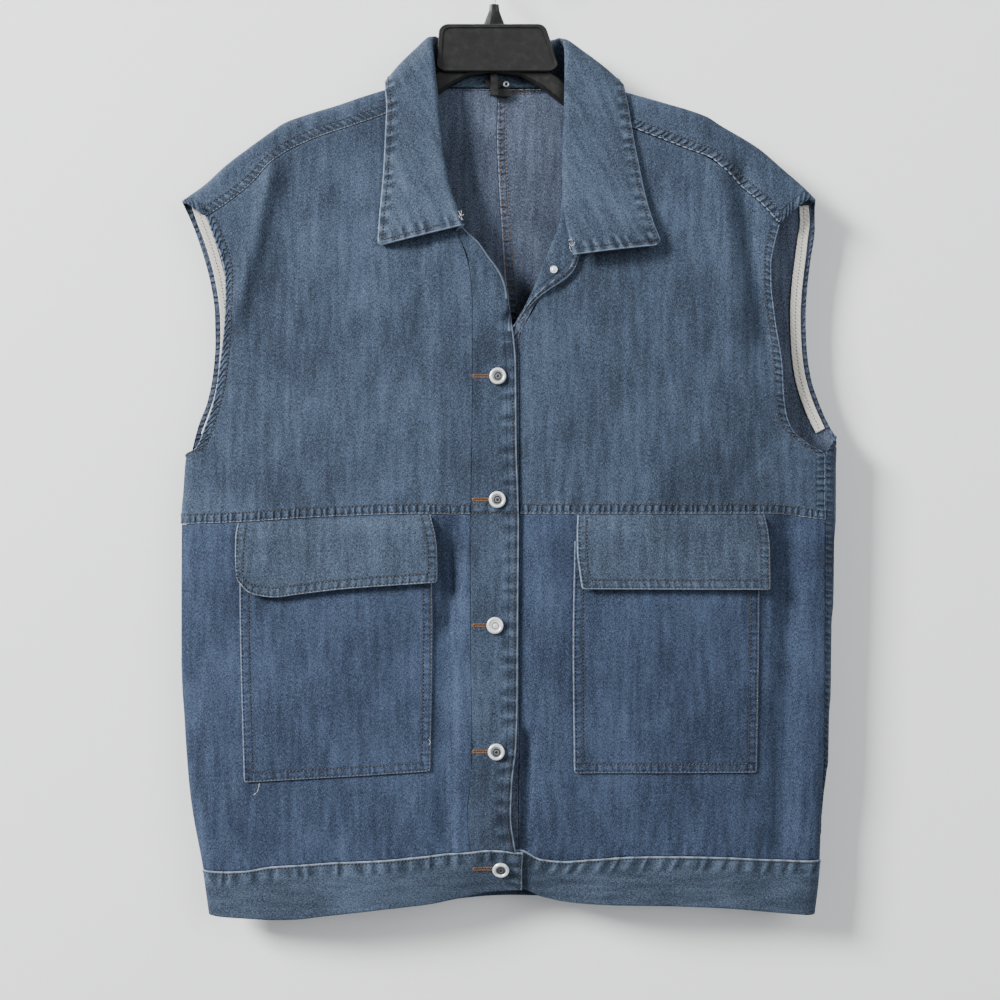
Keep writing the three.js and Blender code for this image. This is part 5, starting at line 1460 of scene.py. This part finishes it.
@dataclass
class Waistband:
    """The band round the hem; its ends overlap in front."""

    lines: dict
    dark: Sewing

    RISE = 0.5
    CLIMB_Z = -852.0
    ENDS = {"over": 25.5, "under": -19.5}

    def build(self) -> None:
        """Build the band and sew its ends and its top."""
        points = inset(refine(self._coarse(), 3.0), Plackets.JOIN_INSET)
        edges = (Edge.FIRST_COLUMN, Edge.FIRST_ROW)
        sheet = Sheet("waistband", points, grid_normals(points, (0, -1, 0), (8 / 60, 0.5)), DOUBLE, grain=90,
                      sewn=edges, worn=edges, gauge=(2.4, NO_ROW), period=14.0, pucker=(1.0, 15.0))
        Cloth(sheet).build(DENIM_WORN, lining=DENIM_UPPER)
        self.dark.row(sheet.row(Edge.FIRST_COLUMN, 2.0, (3, 3)))
        self.dark.row(sheet.row(Edge.FIRST_ROW, 2.4, (3, 3)))

    def _column(self, x: np.ndarray, side: Side, table: Table, climbs: bool = False) -> np.ndarray:
        """Cut the band's columns at places across: from its top seam to its hem."""
        top, hem = table.read("x", x, "top"), table.read("x", x, "hem")
        left, right = fold(Half.LEFT, top), fold(Half.RIGHT, top)
        share = (x - left) / (right - left)
        columns = []
        for f in (0, 0.5, 1):
            z = mix(top, hem, f)
            spots = np.stack([mix(fold(Half.LEFT, z), fold(Half.RIGHT, z), share), z], 1)
            rise = self.RISE + (climb(x, np.full(x.shape, self.CLIMB_Z)) if climbs else 0.0)
            columns.append(place(spots, side) + outward(spots, side) * np.reshape(rise, (-1, 1)))
        return np.stack(columns, 1)

    def _coarse(self) -> np.ndarray:
        """Work out the band's columns from its top end in front, round the back, to its under end."""
        left, right = self.lines[Half.LEFT], self.lines[Half.RIGHT]
        over = mix(self.ENDS["over"], left.band[-1, 0], even(3)[:-1])
        under = mix(right.band[-1, 0], self.ENDS["under"], even(3)[1:])
        behind = {half: lines.back()[0, :, 0] for half, lines in self.lines.items()}
        return np.concatenate([
            self._column(np.r_[over, left.band[::-1, 0][:-1]], Side.FRONT, BAND_FRONT[Half.LEFT], True),
            self._column(behind[Half.LEFT][:-1], Side.BACK, BAND_BACK),
            self._column(behind[Half.RIGHT][::-1][:-1], Side.BACK, BAND_BACK),
            self._column(np.r_[right.band[:, 0], under], Side.FRONT, BAND_FRONT[Half.RIGHT]),
        ])


@dataclass(frozen=True)
class Outline:
    """A pocket's or a flap's outline by its sides, each from the top down."""

    left: tuple
    right: tuple
    bottom: tuple = ()


POCKETS = {
    Half.LEFT: Outline(((-236, -566), (-235.5, -656), (-232, -790.5)),
                       ((-58.5, -566), (-57.6, -656), (-59.4, -778.5))),
    Half.RIGHT: Outline(((74.2, -566), (72.3, -656), (73.6, -780)),
                        ((246, -566), (245.4, -656), (243.6, -781))),
}
FLAPS = {
    Half.LEFT: Outline(((-238, -549), (-238.6, -572), (-236.2, -600)),
                       ((-58.6, -541.2), (-55.4, -572), (-55.6, -603.8)),
                       ((-236.2, -600), (-226, -610.5), (-214.5, -618.4), (-197, -617.2), (-140, -610.2),
                        (-55.6, -603.8))),
    Half.RIGHT: Outline(((77, -541.2), (75.8, -572), (80, -610)),
                        ((251, -541.2), (253.6, -572), (253.6, -611)),
                        ((80, -610), (130, -610.2), (190, -610.4), (253.6, -611))),
}


@dataclass
class Pockets:
    """The patch pockets and their flaps."""

    dark: Sewing

    RISE = 2.3
    POUCH = 1.2
    FLAP_TOP = 0.6
    FLAP_KNEE = 6.6
    FLAP_BOTTOM = 10.4
    CURL = {Half.LEFT: 4.0, Half.RIGHT: 0.0}

    def build(self) -> None:
        """Build the pockets and the flaps and sew them."""
        for half in Half:
            pocket = self._sheet(f"pocket_{half.value}", POCKETS[half], (8, 7), DENIM, self._pocket_rise)
            Cloth(pocket).build(DENIM_LOWER, lining=DENIM_INSIDE)
            flap = self._sheet(f"flap_{half.value}", FLAPS[half], (4, 9), DOUBLE,
                               partial(self._flap_rise, curl=self.CURL[half]))
            Cloth(flap).build(DENIM_WORN, slot="denim_pale", lining=DENIM_INSIDE)
            for away in GAUGE:
                for edge in (Edge.FIRST_COLUMN, Edge.LAST_COLUMN):
                    self.dark.row(pocket.row(edge, away, (30, away)))
                    self.dark.row(flap.row(edge, away, (2, away)))
                self.dark.row(pocket.row(Edge.LAST_ROW, away, (away, away)))
                self.dark.row(flap.row(Edge.LAST_ROW, away, (away, away)))

    def _pocket_rise(self, u: np.ndarray, v: np.ndarray) -> np.ndarray:
        """Tell how far a pocket stands off, across and down it."""
        return self.RISE + self.POUCH * np.sin(math.pi * u) * np.sin(math.pi * v)

    def _flap_rise(self, u: np.ndarray, v: np.ndarray, curl: float) -> np.ndarray:
        """Tell how far a flap stands off, across and down it."""
        rise = mix(self.FLAP_TOP, self.FLAP_KNEE, smooth(v / 0.3)) + (self.FLAP_BOTTOM - self.FLAP_KNEE) * v
        return rise + curl * np.exp(-(((u - 0.05) / 0.1) ** 2)) * smooth((v - 0.45) / 0.55)

    def _sheet(self, name: str, lines: Outline, counts: tuple, thick: float, rise_at) -> Sheet:
        """Lay a patch on the front panels, lifted off them."""
        rows, columns = counts
        left, right = (along(np.array(line, float), even(rows)) for line in (lines.left, lines.right))
        shares = even(columns)
        top, bottom = (mix(left[k], right[k], shares[:, None]) for k in (0, -1))
        if lines.bottom:
            bottom = along(np.array(lines.bottom, float), shares)
        fine = refine(patch(top, bottom, left, right), 2.6)
        u, v = np.meshgrid(even(fine.shape[1] - 1), even(fine.shape[0] - 1))
        normals = outward(fine, Side.FRONT)
        lift = lay(fine[..., 0], fine[..., 1]) + rise_at(u, v)
        points = place(fine, Side.FRONT) + normals * lift[..., None]
        sewn = (Edge.FIRST_COLUMN, Edge.LAST_COLUMN, Edge.LAST_ROW)
        sheet = Sheet(name, points, grid_normals(points, (0, -1, 0), (0.5, 0.5)), thick, sewn=sewn, worn=sewn,
                      period=7.4, pucker=(0.5, 8.8))
        sheet.round_corners(3.0, (Edge.LAST_ROW, Edge.FIRST_COLUMN), (Edge.LAST_ROW, Edge.LAST_COLUMN))
        return sheet


@dataclass
class ArmholeTapes:
    """White tape inside each armhole edge."""

    white: Sewing

    STRIPS = (5.2, 10.2, 15.2)
    LIFT = -DENIM - 0.95
    SPANS = {
        (Side.BACK, Half.LEFT): (0.1, 0.985), (Side.BACK, Half.RIGHT): (0.06, 0.985),
        (Side.FRONT, Half.LEFT): (0.14, 0.97), (Side.FRONT, Half.RIGHT): (0.1, 0.97),
    }

    def build(self) -> None:
        """Build the four tapes and their centre stitches."""
        for (side, half), span in self.SPANS.items():
            table = (ARMHOLE_FRONT if side == Side.FRONT else ARMHOLE_BACK)[half].line()
            shares = mix(*span, even(12))
            spot = along(table, shares)
            run = along(table, shares + 0.01) - along(table, shares - 0.01)
            normal = unit(np.stack([run[:, 1], -run[:, 0]], 1))
            normal *= np.where(normal[:, :1] * (1 if half is Half.LEFT else -1) < 0, -1, 1)
            flat = refine(np.stack([spot + normal * away for away in self.STRIPS], 1), 2.4)
            facing = outward(flat, side)
            lift = self.LIFT + (lay(flat[..., 0], flat[..., 1]) if side == Side.FRONT else 0)
            points = place(flat, side) + facing * np.reshape(lift, (*np.shape(lift), 1))
            word = "back" if side == Side.BACK else "front"
            sheet = Sheet(f"armhole_tape_{word}_{half.value}", points, facing, TAPE, sewn=())
            Cloth(sheet).build(COTTON_TAPE, slot="white_tape")
            inside = Sheet("inside", points - facing * TAPE, -facing, TAPE)
            self.white.row(inside.row(Edge.FIRST_COLUMN, 5.0, (2, 2)), 3.0, 1.7, 0.4)


BUTTONS = Table("x z", (3.7, -413.9), (3.2, -527.8), (1, -643.7), (2.3, -760.2), (6.4, -868.5))


def seat_of(x: float, z: float, rise: float) -> Matrix:
    """Find the frame in which a button sits on the front, its axis outward.

    Args:
        x: Its place across.
        z: Its place up.
        rise: How far its foot stands off the front layer.

    Returns:
        A matrix in metres.
    """
    spot = np.array([[x, z]], float)
    out = outward(spot, Side.FRONT)[0]
    centre = place(spot, Side.FRONT)[0] + out * rise
    turn = Vector((0, 0, 1)).rotation_difference(Vector(out))
    return Matrix.LocRotScale(Vector(centre) * MM, turn, None)


def settle(obj: bpy.types.Object, name: str, finish, seat: Matrix | None = None) -> bpy.types.Object:
    """Finish a piece made with operators: name it, paint it and bake its place into its mesh."""
    obj.name = name
    obj.data.name = name
    obj.data.materials.clear()
    obj.data.materials.append(Palette.of(finish))
    obj.data.transform((seat or Matrix.Identity(4)) @ obj.matrix_basis)
    obj.matrix_basis = Matrix.Identity(4)
    obj.data.polygons.foreach_set("use_smooth", [True] * len(obj.data.polygons))
    return obj


def join(parts: list, name: str) -> bpy.types.Object:
    """Join pieces into the first one."""
    bpy.ops.object.select_all(action="DESELECT")
    for part in parts:
        part.select_set(True)
    bpy.context.view_layer.objects.active = parts[0]
    bpy.ops.object.join()
    parts[0].name = name
    bpy.ops.object.select_all(action="DESELECT")
    return parts[0]


@dataclass(frozen=True)
class ButtonSizes:
    """A shank button's sizes in millimetres."""

    radius: float = 7.8
    thick: float = 3.2
    rim: float = 1.6
    dish: float = 4.8
    stud: float = 1.5


@dataclass
class Buttons:
    """Five metal buttons with their stitched buttonholes, and the rivet on the lapel."""

    rust: Sewing
    sizes: ButtonSizes = ButtonSizes()

    FOOT = 0.6
    SEAT = STACK_RISE + FOOT
    BAND_SEAT = 0.5
    ON_BAND = 4
    # The button whose face, ring and stud take lighter metals as a painted highlight.
    GLINT_BUTTON = 2
    RIVET = {"x": 55.2, "z": -315.5, "radius": 3.4, "thick": 1.4, "rise": 6.1}

    def build(self) -> None:
        """Build every button on its buttonhole, and the rivet."""
        for k, (x, z) in enumerate(BUTTONS.line()):
            extra = self.BAND_SEAT if k == self.ON_BAND else 0
            self._button(f"button_{k + 1}", seat_of(x, z, self.SEAT + extra), painted_glint=k == self.GLINT_BUTTON)
            self._hole(x, z, self.SEAT - self.FOOT + extra)
        r = self.RIVET
        self._dome("button_top", seat_of(r["x"], r["z"], r["rise"]), r["radius"], r["thick"])

    def _disc(self, radius: float, thick: float, at: float, name: str, finish,
              seat: Matrix) -> bpy.types.Object:
        """Build a disc with a rounded edge."""
        bpy.ops.mesh.primitive_cylinder_add(vertices=40, radius=radius * MM, depth=thick * MM,
                                            location=(0, 0, at * MM))
        disc = bpy.context.object
        bevel = disc.modifiers.new("edge", "BEVEL")
        bevel.width = thick * 0.35 * MM
        bevel.segments = 3
        bpy.ops.object.modifier_apply(modifier=bevel.name)
        return settle(disc, name, finish, seat)

    def _ring(self, radius: float, wire: float, at: float, name: str, finish,
              seat: Matrix) -> bpy.types.Object:
        """Build a round ring."""
        bpy.ops.mesh.primitive_torus_add(major_radius=radius * MM, minor_radius=wire * MM, major_segments=48,
                                         minor_segments=12, location=(0, 0, at * MM))
        return settle(bpy.context.object, name, finish, seat)

    def _ball(self, radius: float, flat: float, at: float, name: str, finish,
              seat: Matrix) -> bpy.types.Object:
        """Build a flattened ball."""
        bpy.ops.mesh.primitive_uv_sphere_add(segments=28, ring_count=14, radius=radius * MM,
                                             location=(0, 0, at * MM), scale=(1, 1, flat))
        return settle(bpy.context.object, name, finish, seat)

    def _button(self, name: str, seat: Matrix, painted_glint: bool) -> None:
        """Build one button: foot, dished face, rim and stud, with lighter metals as a painted highlight on
        the glint button.
        """
        s = self.sizes
        middle = NICKEL if painted_glint else GREY_METAL
        parts = [
            self._disc(s.radius * 0.84, s.thick * 0.55, s.thick * 0.28, name, NICKEL, seat),
            self._ring(s.radius - s.rim, s.rim, s.thick - s.rim, name, NICKEL, seat),
            self._disc(s.dish, 0.7, s.thick * 0.62, name, middle, seat),
            self._ring(s.dish * 0.62, 0.5, s.thick * 0.72, name, GREY_METAL if painted_glint else DARK_METAL, seat),
            self._ball(s.stud, 0.4, s.thick * 0.66, name, NICKEL if painted_glint else DARK_METAL, seat),
        ]
        self._place(join(parts, name + "_metal"), name)

    def _dome(self, name: str, seat: Matrix, radius: float, thick: float) -> None:
        """Build the rivet's back: a small domed cap in a ring."""
        parts = [self._disc(radius, thick * 0.6, thick * 0.3, name, NICKEL, seat),
                 self._ball(radius * 0.62, 0.45, thick * 0.45, name, NICKEL, seat)]
        self._place(join(parts, name + "_metal"), name)

    def _place(self, obj: bpy.types.Object, node: str) -> None:
        """Let a button ride and stand for its node."""
        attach(obj, "root")
        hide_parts(node)

    def _hole(self, x: float, z: float, rise: float) -> None:
        """Sew a buttonhole's bars from its open end to under the button."""
        start, end, half, pitch = -18.6, x - 2.0, 1.9, 0.72
        spots = np.arange(start, end, pitch)
        for sign in (-1, 1):
            unruly = np.sin(spots * 2.9 + z + sign) + 0.6 * np.sin(spots * 5.3 - z)
            near = np.stack([spots, z + sign * (0.3 + 0.12 * unruly)], 1)
            far = np.stack([spots + 0.3 * unruly, z + sign * (half + 0.3 * unruly)], 1)
            self._bars(near, far, rise)
        angles = np.linspace(math.radians(100), math.radians(260), 6)
        fan = np.stack([start + half * np.cos(angles), z + half * np.sin(angles)], 1)
        self._bars(np.tile([[start, z]], (6, 1)), fan, rise)

    def _bars(self, near: np.ndarray, far: np.ndarray, rise: float) -> None:
        """Add stitches between two lines of flat places."""
        out = outward(near, Side.FRONT)
        lift = out * (rise + 0.1)
        self.rust.add(place(near, Side.FRONT) + lift, place(far, Side.FRONT) + lift, out, 0.42)


@dataclass
class LooseThreads:
    """Frayed ends at the collar's corners and the pockets, as lines of x, z and rise."""

    thread: Sewing

    STRANDS = (
        ((-33, -262, 12), (-31.5, -265.5, 13), (-29.3, -267, 13), (-28.1, -265.4, 13)),
        ((-32.3, -264, 12), (-30.1, -268.5, 13), (-29.9, -271.5, 12.5)),
        ((-33.5, -266, 12), (-31.1, -269.4, 13), (-27.9, -270.6, 12.5)),
        ((-31, -261.5, 12), (-30.1, -264.2, 13), (-31.9, -266.8, 12.5)),
        ((69, -293, 16), (71, -296, 17), (73.4, -295.4, 17.5), (74.2, -292.4, 17)),
        ((69.6, -295.5, 16), (70.2, -299.6, 16.5), (72.6, -302, 16)),
        ((68.4, -291, 16), (70.6, -289.6, 17), (72.4, -291.4, 17)),
        ((92, -599.5, 9.2), (98.4, -599.3, 9.2)),
        ((245.4, -599.5, 9.2), (248.4, -596.5, 9.2)),
        ((-217, -790, 4.5), (-217.6, -795, 5), (-219.4, -799, 5), (-222.6, -801.5, 4.4)),
        ((-61, -748, 4.6), (-59.4, -751, 5), (-60.6, -753.6, 4.6)),
    )
    RADIUS = 0.22

    def build(self) -> None:
        """Lay every strand as a chain of short pieces."""
        for strand in self.STRANDS:
            flat, rise = np.array(strand)[:, :2], np.array(strand)[:, 2:]
            out = outward(flat, Side.FRONT)
            spots = place(flat, Side.FRONT) + out * rise
            self.thread.add(spots[:-1], spots[1:], out[:-1], self.RADIUS)


class Hanger:
    """The moulded hanger, its front plate and its wire hook."""

    PAINT = {"hanger_body": PLASTIC, "hanger_plate": PLASTIC_FACE, "hanger_hook": STEEL}
    BLOCKS = (((7.2, 4.0, -144.4), (16.6, 2.4, 7.4)), ((0.0, -0.3, -144.8), (7.4, 5.8, 6.4)))
    WEB = {"at": (-0.4, 4.2, -137.2), "radius": 10.0, "thick": 1.4}
    CLIP = {"at": (11.6, 1.6, -136.9), "radius": 2.1, "wire": 0.9}

    def build(self) -> None:
        """Paint the moulded parts and the hook, and add the small pieces below the stem."""
        self._small_pieces()
        for node, finish in self.PAINT.items():
            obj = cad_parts[node]
            if not obj.material_slots:
                obj.data.materials.append(None)
            for slot in obj.material_slots:
                slot.material = Palette.of(finish)

    def _small_pieces(self) -> None:
        """Build the stem's end, the web behind it and the bright clip beside it."""
        bpy.ops.mesh.primitive_cylinder_add(vertices=3, radius=self.WEB["radius"] * MM,
                                            depth=self.WEB["thick"] * MM, rotation=(-math.pi / 2, 0, 0),
                                            location=Vector(self.WEB["at"]) * MM)
        self._hold(settle(bpy.context.object, "hanger_web", PLASTIC_FACE), "black_plastic")
        for at, size in self.BLOCKS:
            bpy.ops.mesh.primitive_cube_add(size=1, location=Vector(at) * MM, scale=Vector(size) * MM)
            self._hold(settle(bpy.context.object, "hanger_block", PLASTIC), "black_plastic")
        bpy.ops.mesh.primitive_torus_add(major_radius=self.CLIP["radius"] * MM,
                                         minor_radius=self.CLIP["wire"] * MM, major_segments=24,
                                         minor_segments=8, rotation=(math.pi / 2, 0, 0),
                                         location=Vector(self.CLIP["at"]) * MM)
        self._hold(settle(bpy.context.object, "hanger_clip", GREY_METAL), "bright_wire", True)

    @staticmethod
    def _hold(piece: bpy.types.Object, slot: str, round_piece: bool = False) -> None:
        """Put a piece on the body, with flat faces unless it is round."""
        piece.data.polygons.foreach_set("use_smooth", [round_piece] * len(piece.data.polygons))
        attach(piece, "root")


class Studio:
    """The pale wall, the soft lights and the camera."""

    CENTRE = (5.52, -528.08)
    DISTANCE = 1430.0
    LENS = 54.78
    WALL_Y = 34.0
    SKY = {"colour": (0.93, 0.96, 1.0, 1.0), "strength": 0.31}
    # Each light's place, what it looks at, its size and its power.
    LIGHTS = {
        "key": ((-3.3, -2.4, 1.4), (0.0, 0.0, -0.45), 1.3, 520.0),
        "fill": ((1.6, -2.3, 0.1), (0.0, 0.0, -0.5), 2.0, 46.0),
        "back": ((-1.8, 2.6, 0.9), (0.0, 0.0, -0.5), 1.6, 240.0),
    }

    def build(self) -> None:
        """Build the stage, the lights and the camera."""
        bpy.ops.mesh.primitive_plane_add(size=6.0, location=(0, self.WALL_Y * MM, -0.5),
                                         rotation=(math.pi / 2, 0, 0))
        wall = settle(bpy.context.object, "wall", WALL)
        wall.visible_shadow = False
        self._show_front_only(wall.active_material.node_tree)
        for name, facts in self.LIGHTS.items():
            self._area(name, *facts)
        world = bpy.data.worlds.new("studio")
        world.use_nodes = True
        sky = world.node_tree.nodes["Background"]
        sky.inputs[0].default_value = self.SKY["colour"]
        sky.inputs[1].default_value = self.SKY["strength"]
        bpy.context.scene.world = world
        camera = bpy.data.objects.new("camera", bpy.data.cameras.new("camera"))
        camera.data.lens = self.LENS
        camera.data.sensor_width = 36.0
        camera.location = (self.CENTRE[0] * MM, -self.DISTANCE * MM, self.CENTRE[1] * MM)
        camera.rotation_euler = (math.pi / 2, 0, 0)
        bpy.context.scene.collection.objects.link(camera)
        bpy.context.scene.camera = camera

    @staticmethod
    def _show_front_only(tree: bpy.types.NodeTree) -> None:
        """Let the wall show from its front alone, so that the vest's back is seen from behind."""
        output = next(node for node in tree.nodes if node.type == "OUTPUT_MATERIAL")
        face = output.inputs[0].links[0].from_socket
        side, clear, both = (tree.nodes.new(f"ShaderNode{kind}") for kind in
                             ("NewGeometry", "BsdfTransparent", "MixShader"))
        tree.links.new(side.outputs["Backfacing"], both.inputs[0])
        tree.links.new(face, both.inputs[1])
        tree.links.new(clear.outputs[0], both.inputs[2])
        tree.links.new(both.outputs[0], output.inputs[0])

    def _area(self, name: str, at: tuple, to: tuple, size: float, power: float) -> None:
        """Hang a square soft light."""
        light = bpy.data.objects.new(name, bpy.data.lights.new(name, "AREA"))
        light.data.size = size
        light.data.energy = power
        light.location = at
        light.rotation_euler = (Vector(to) - Vector(at)).to_track_quat("-Z", "Y").to_euler()
        bpy.context.scene.collection.objects.link(light)


class Vest:
    """The whole vest on its hanger."""

    def __init__(self) -> None:
        """Set up the seam lines and the threads."""
        self.lines = {half: HalfLines(half) for half in Half}
        self.dark = Sewing("stitches_dark", THREAD_DARK)
        self.brown = Sewing("stitches_centre_back", THREAD_BROWN)
        self.rust = Sewing("stitches_buttonholes", THREAD_RUST)
        self.loose = Sewing("threads_loose", THREAD_WHITE)
        self.white = Sewing("stitches_tape", THREAD_DARK)

    def build(self) -> None:
        """Build every sub-assembly and then the threads."""
        parts = (Fronts(self.lines, self.dark), Backs(self.lines, self.dark, self.brown), Plackets(self.dark),
                 Collar(self.dark), Waistband(self.lines, self.dark), Pockets(self.dark),
                 ArmholeTapes(self.white), Buttons(self.rust), LooseThreads(self.loose), Hanger())
        for part in parts:
            part.build()
            log.info("built %s", type(part).__name__)
        for thread in (self.dark, self.brown, self.rust, self.loose):
            thread.build()
        self.white.build("white_tape")


def main() -> None:
    """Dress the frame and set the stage."""
    logging.basicConfig(level=logging.INFO, format="%(message)s")
    Studio().build()
    Vest().build()


if __name__ == "__main__":
    main()
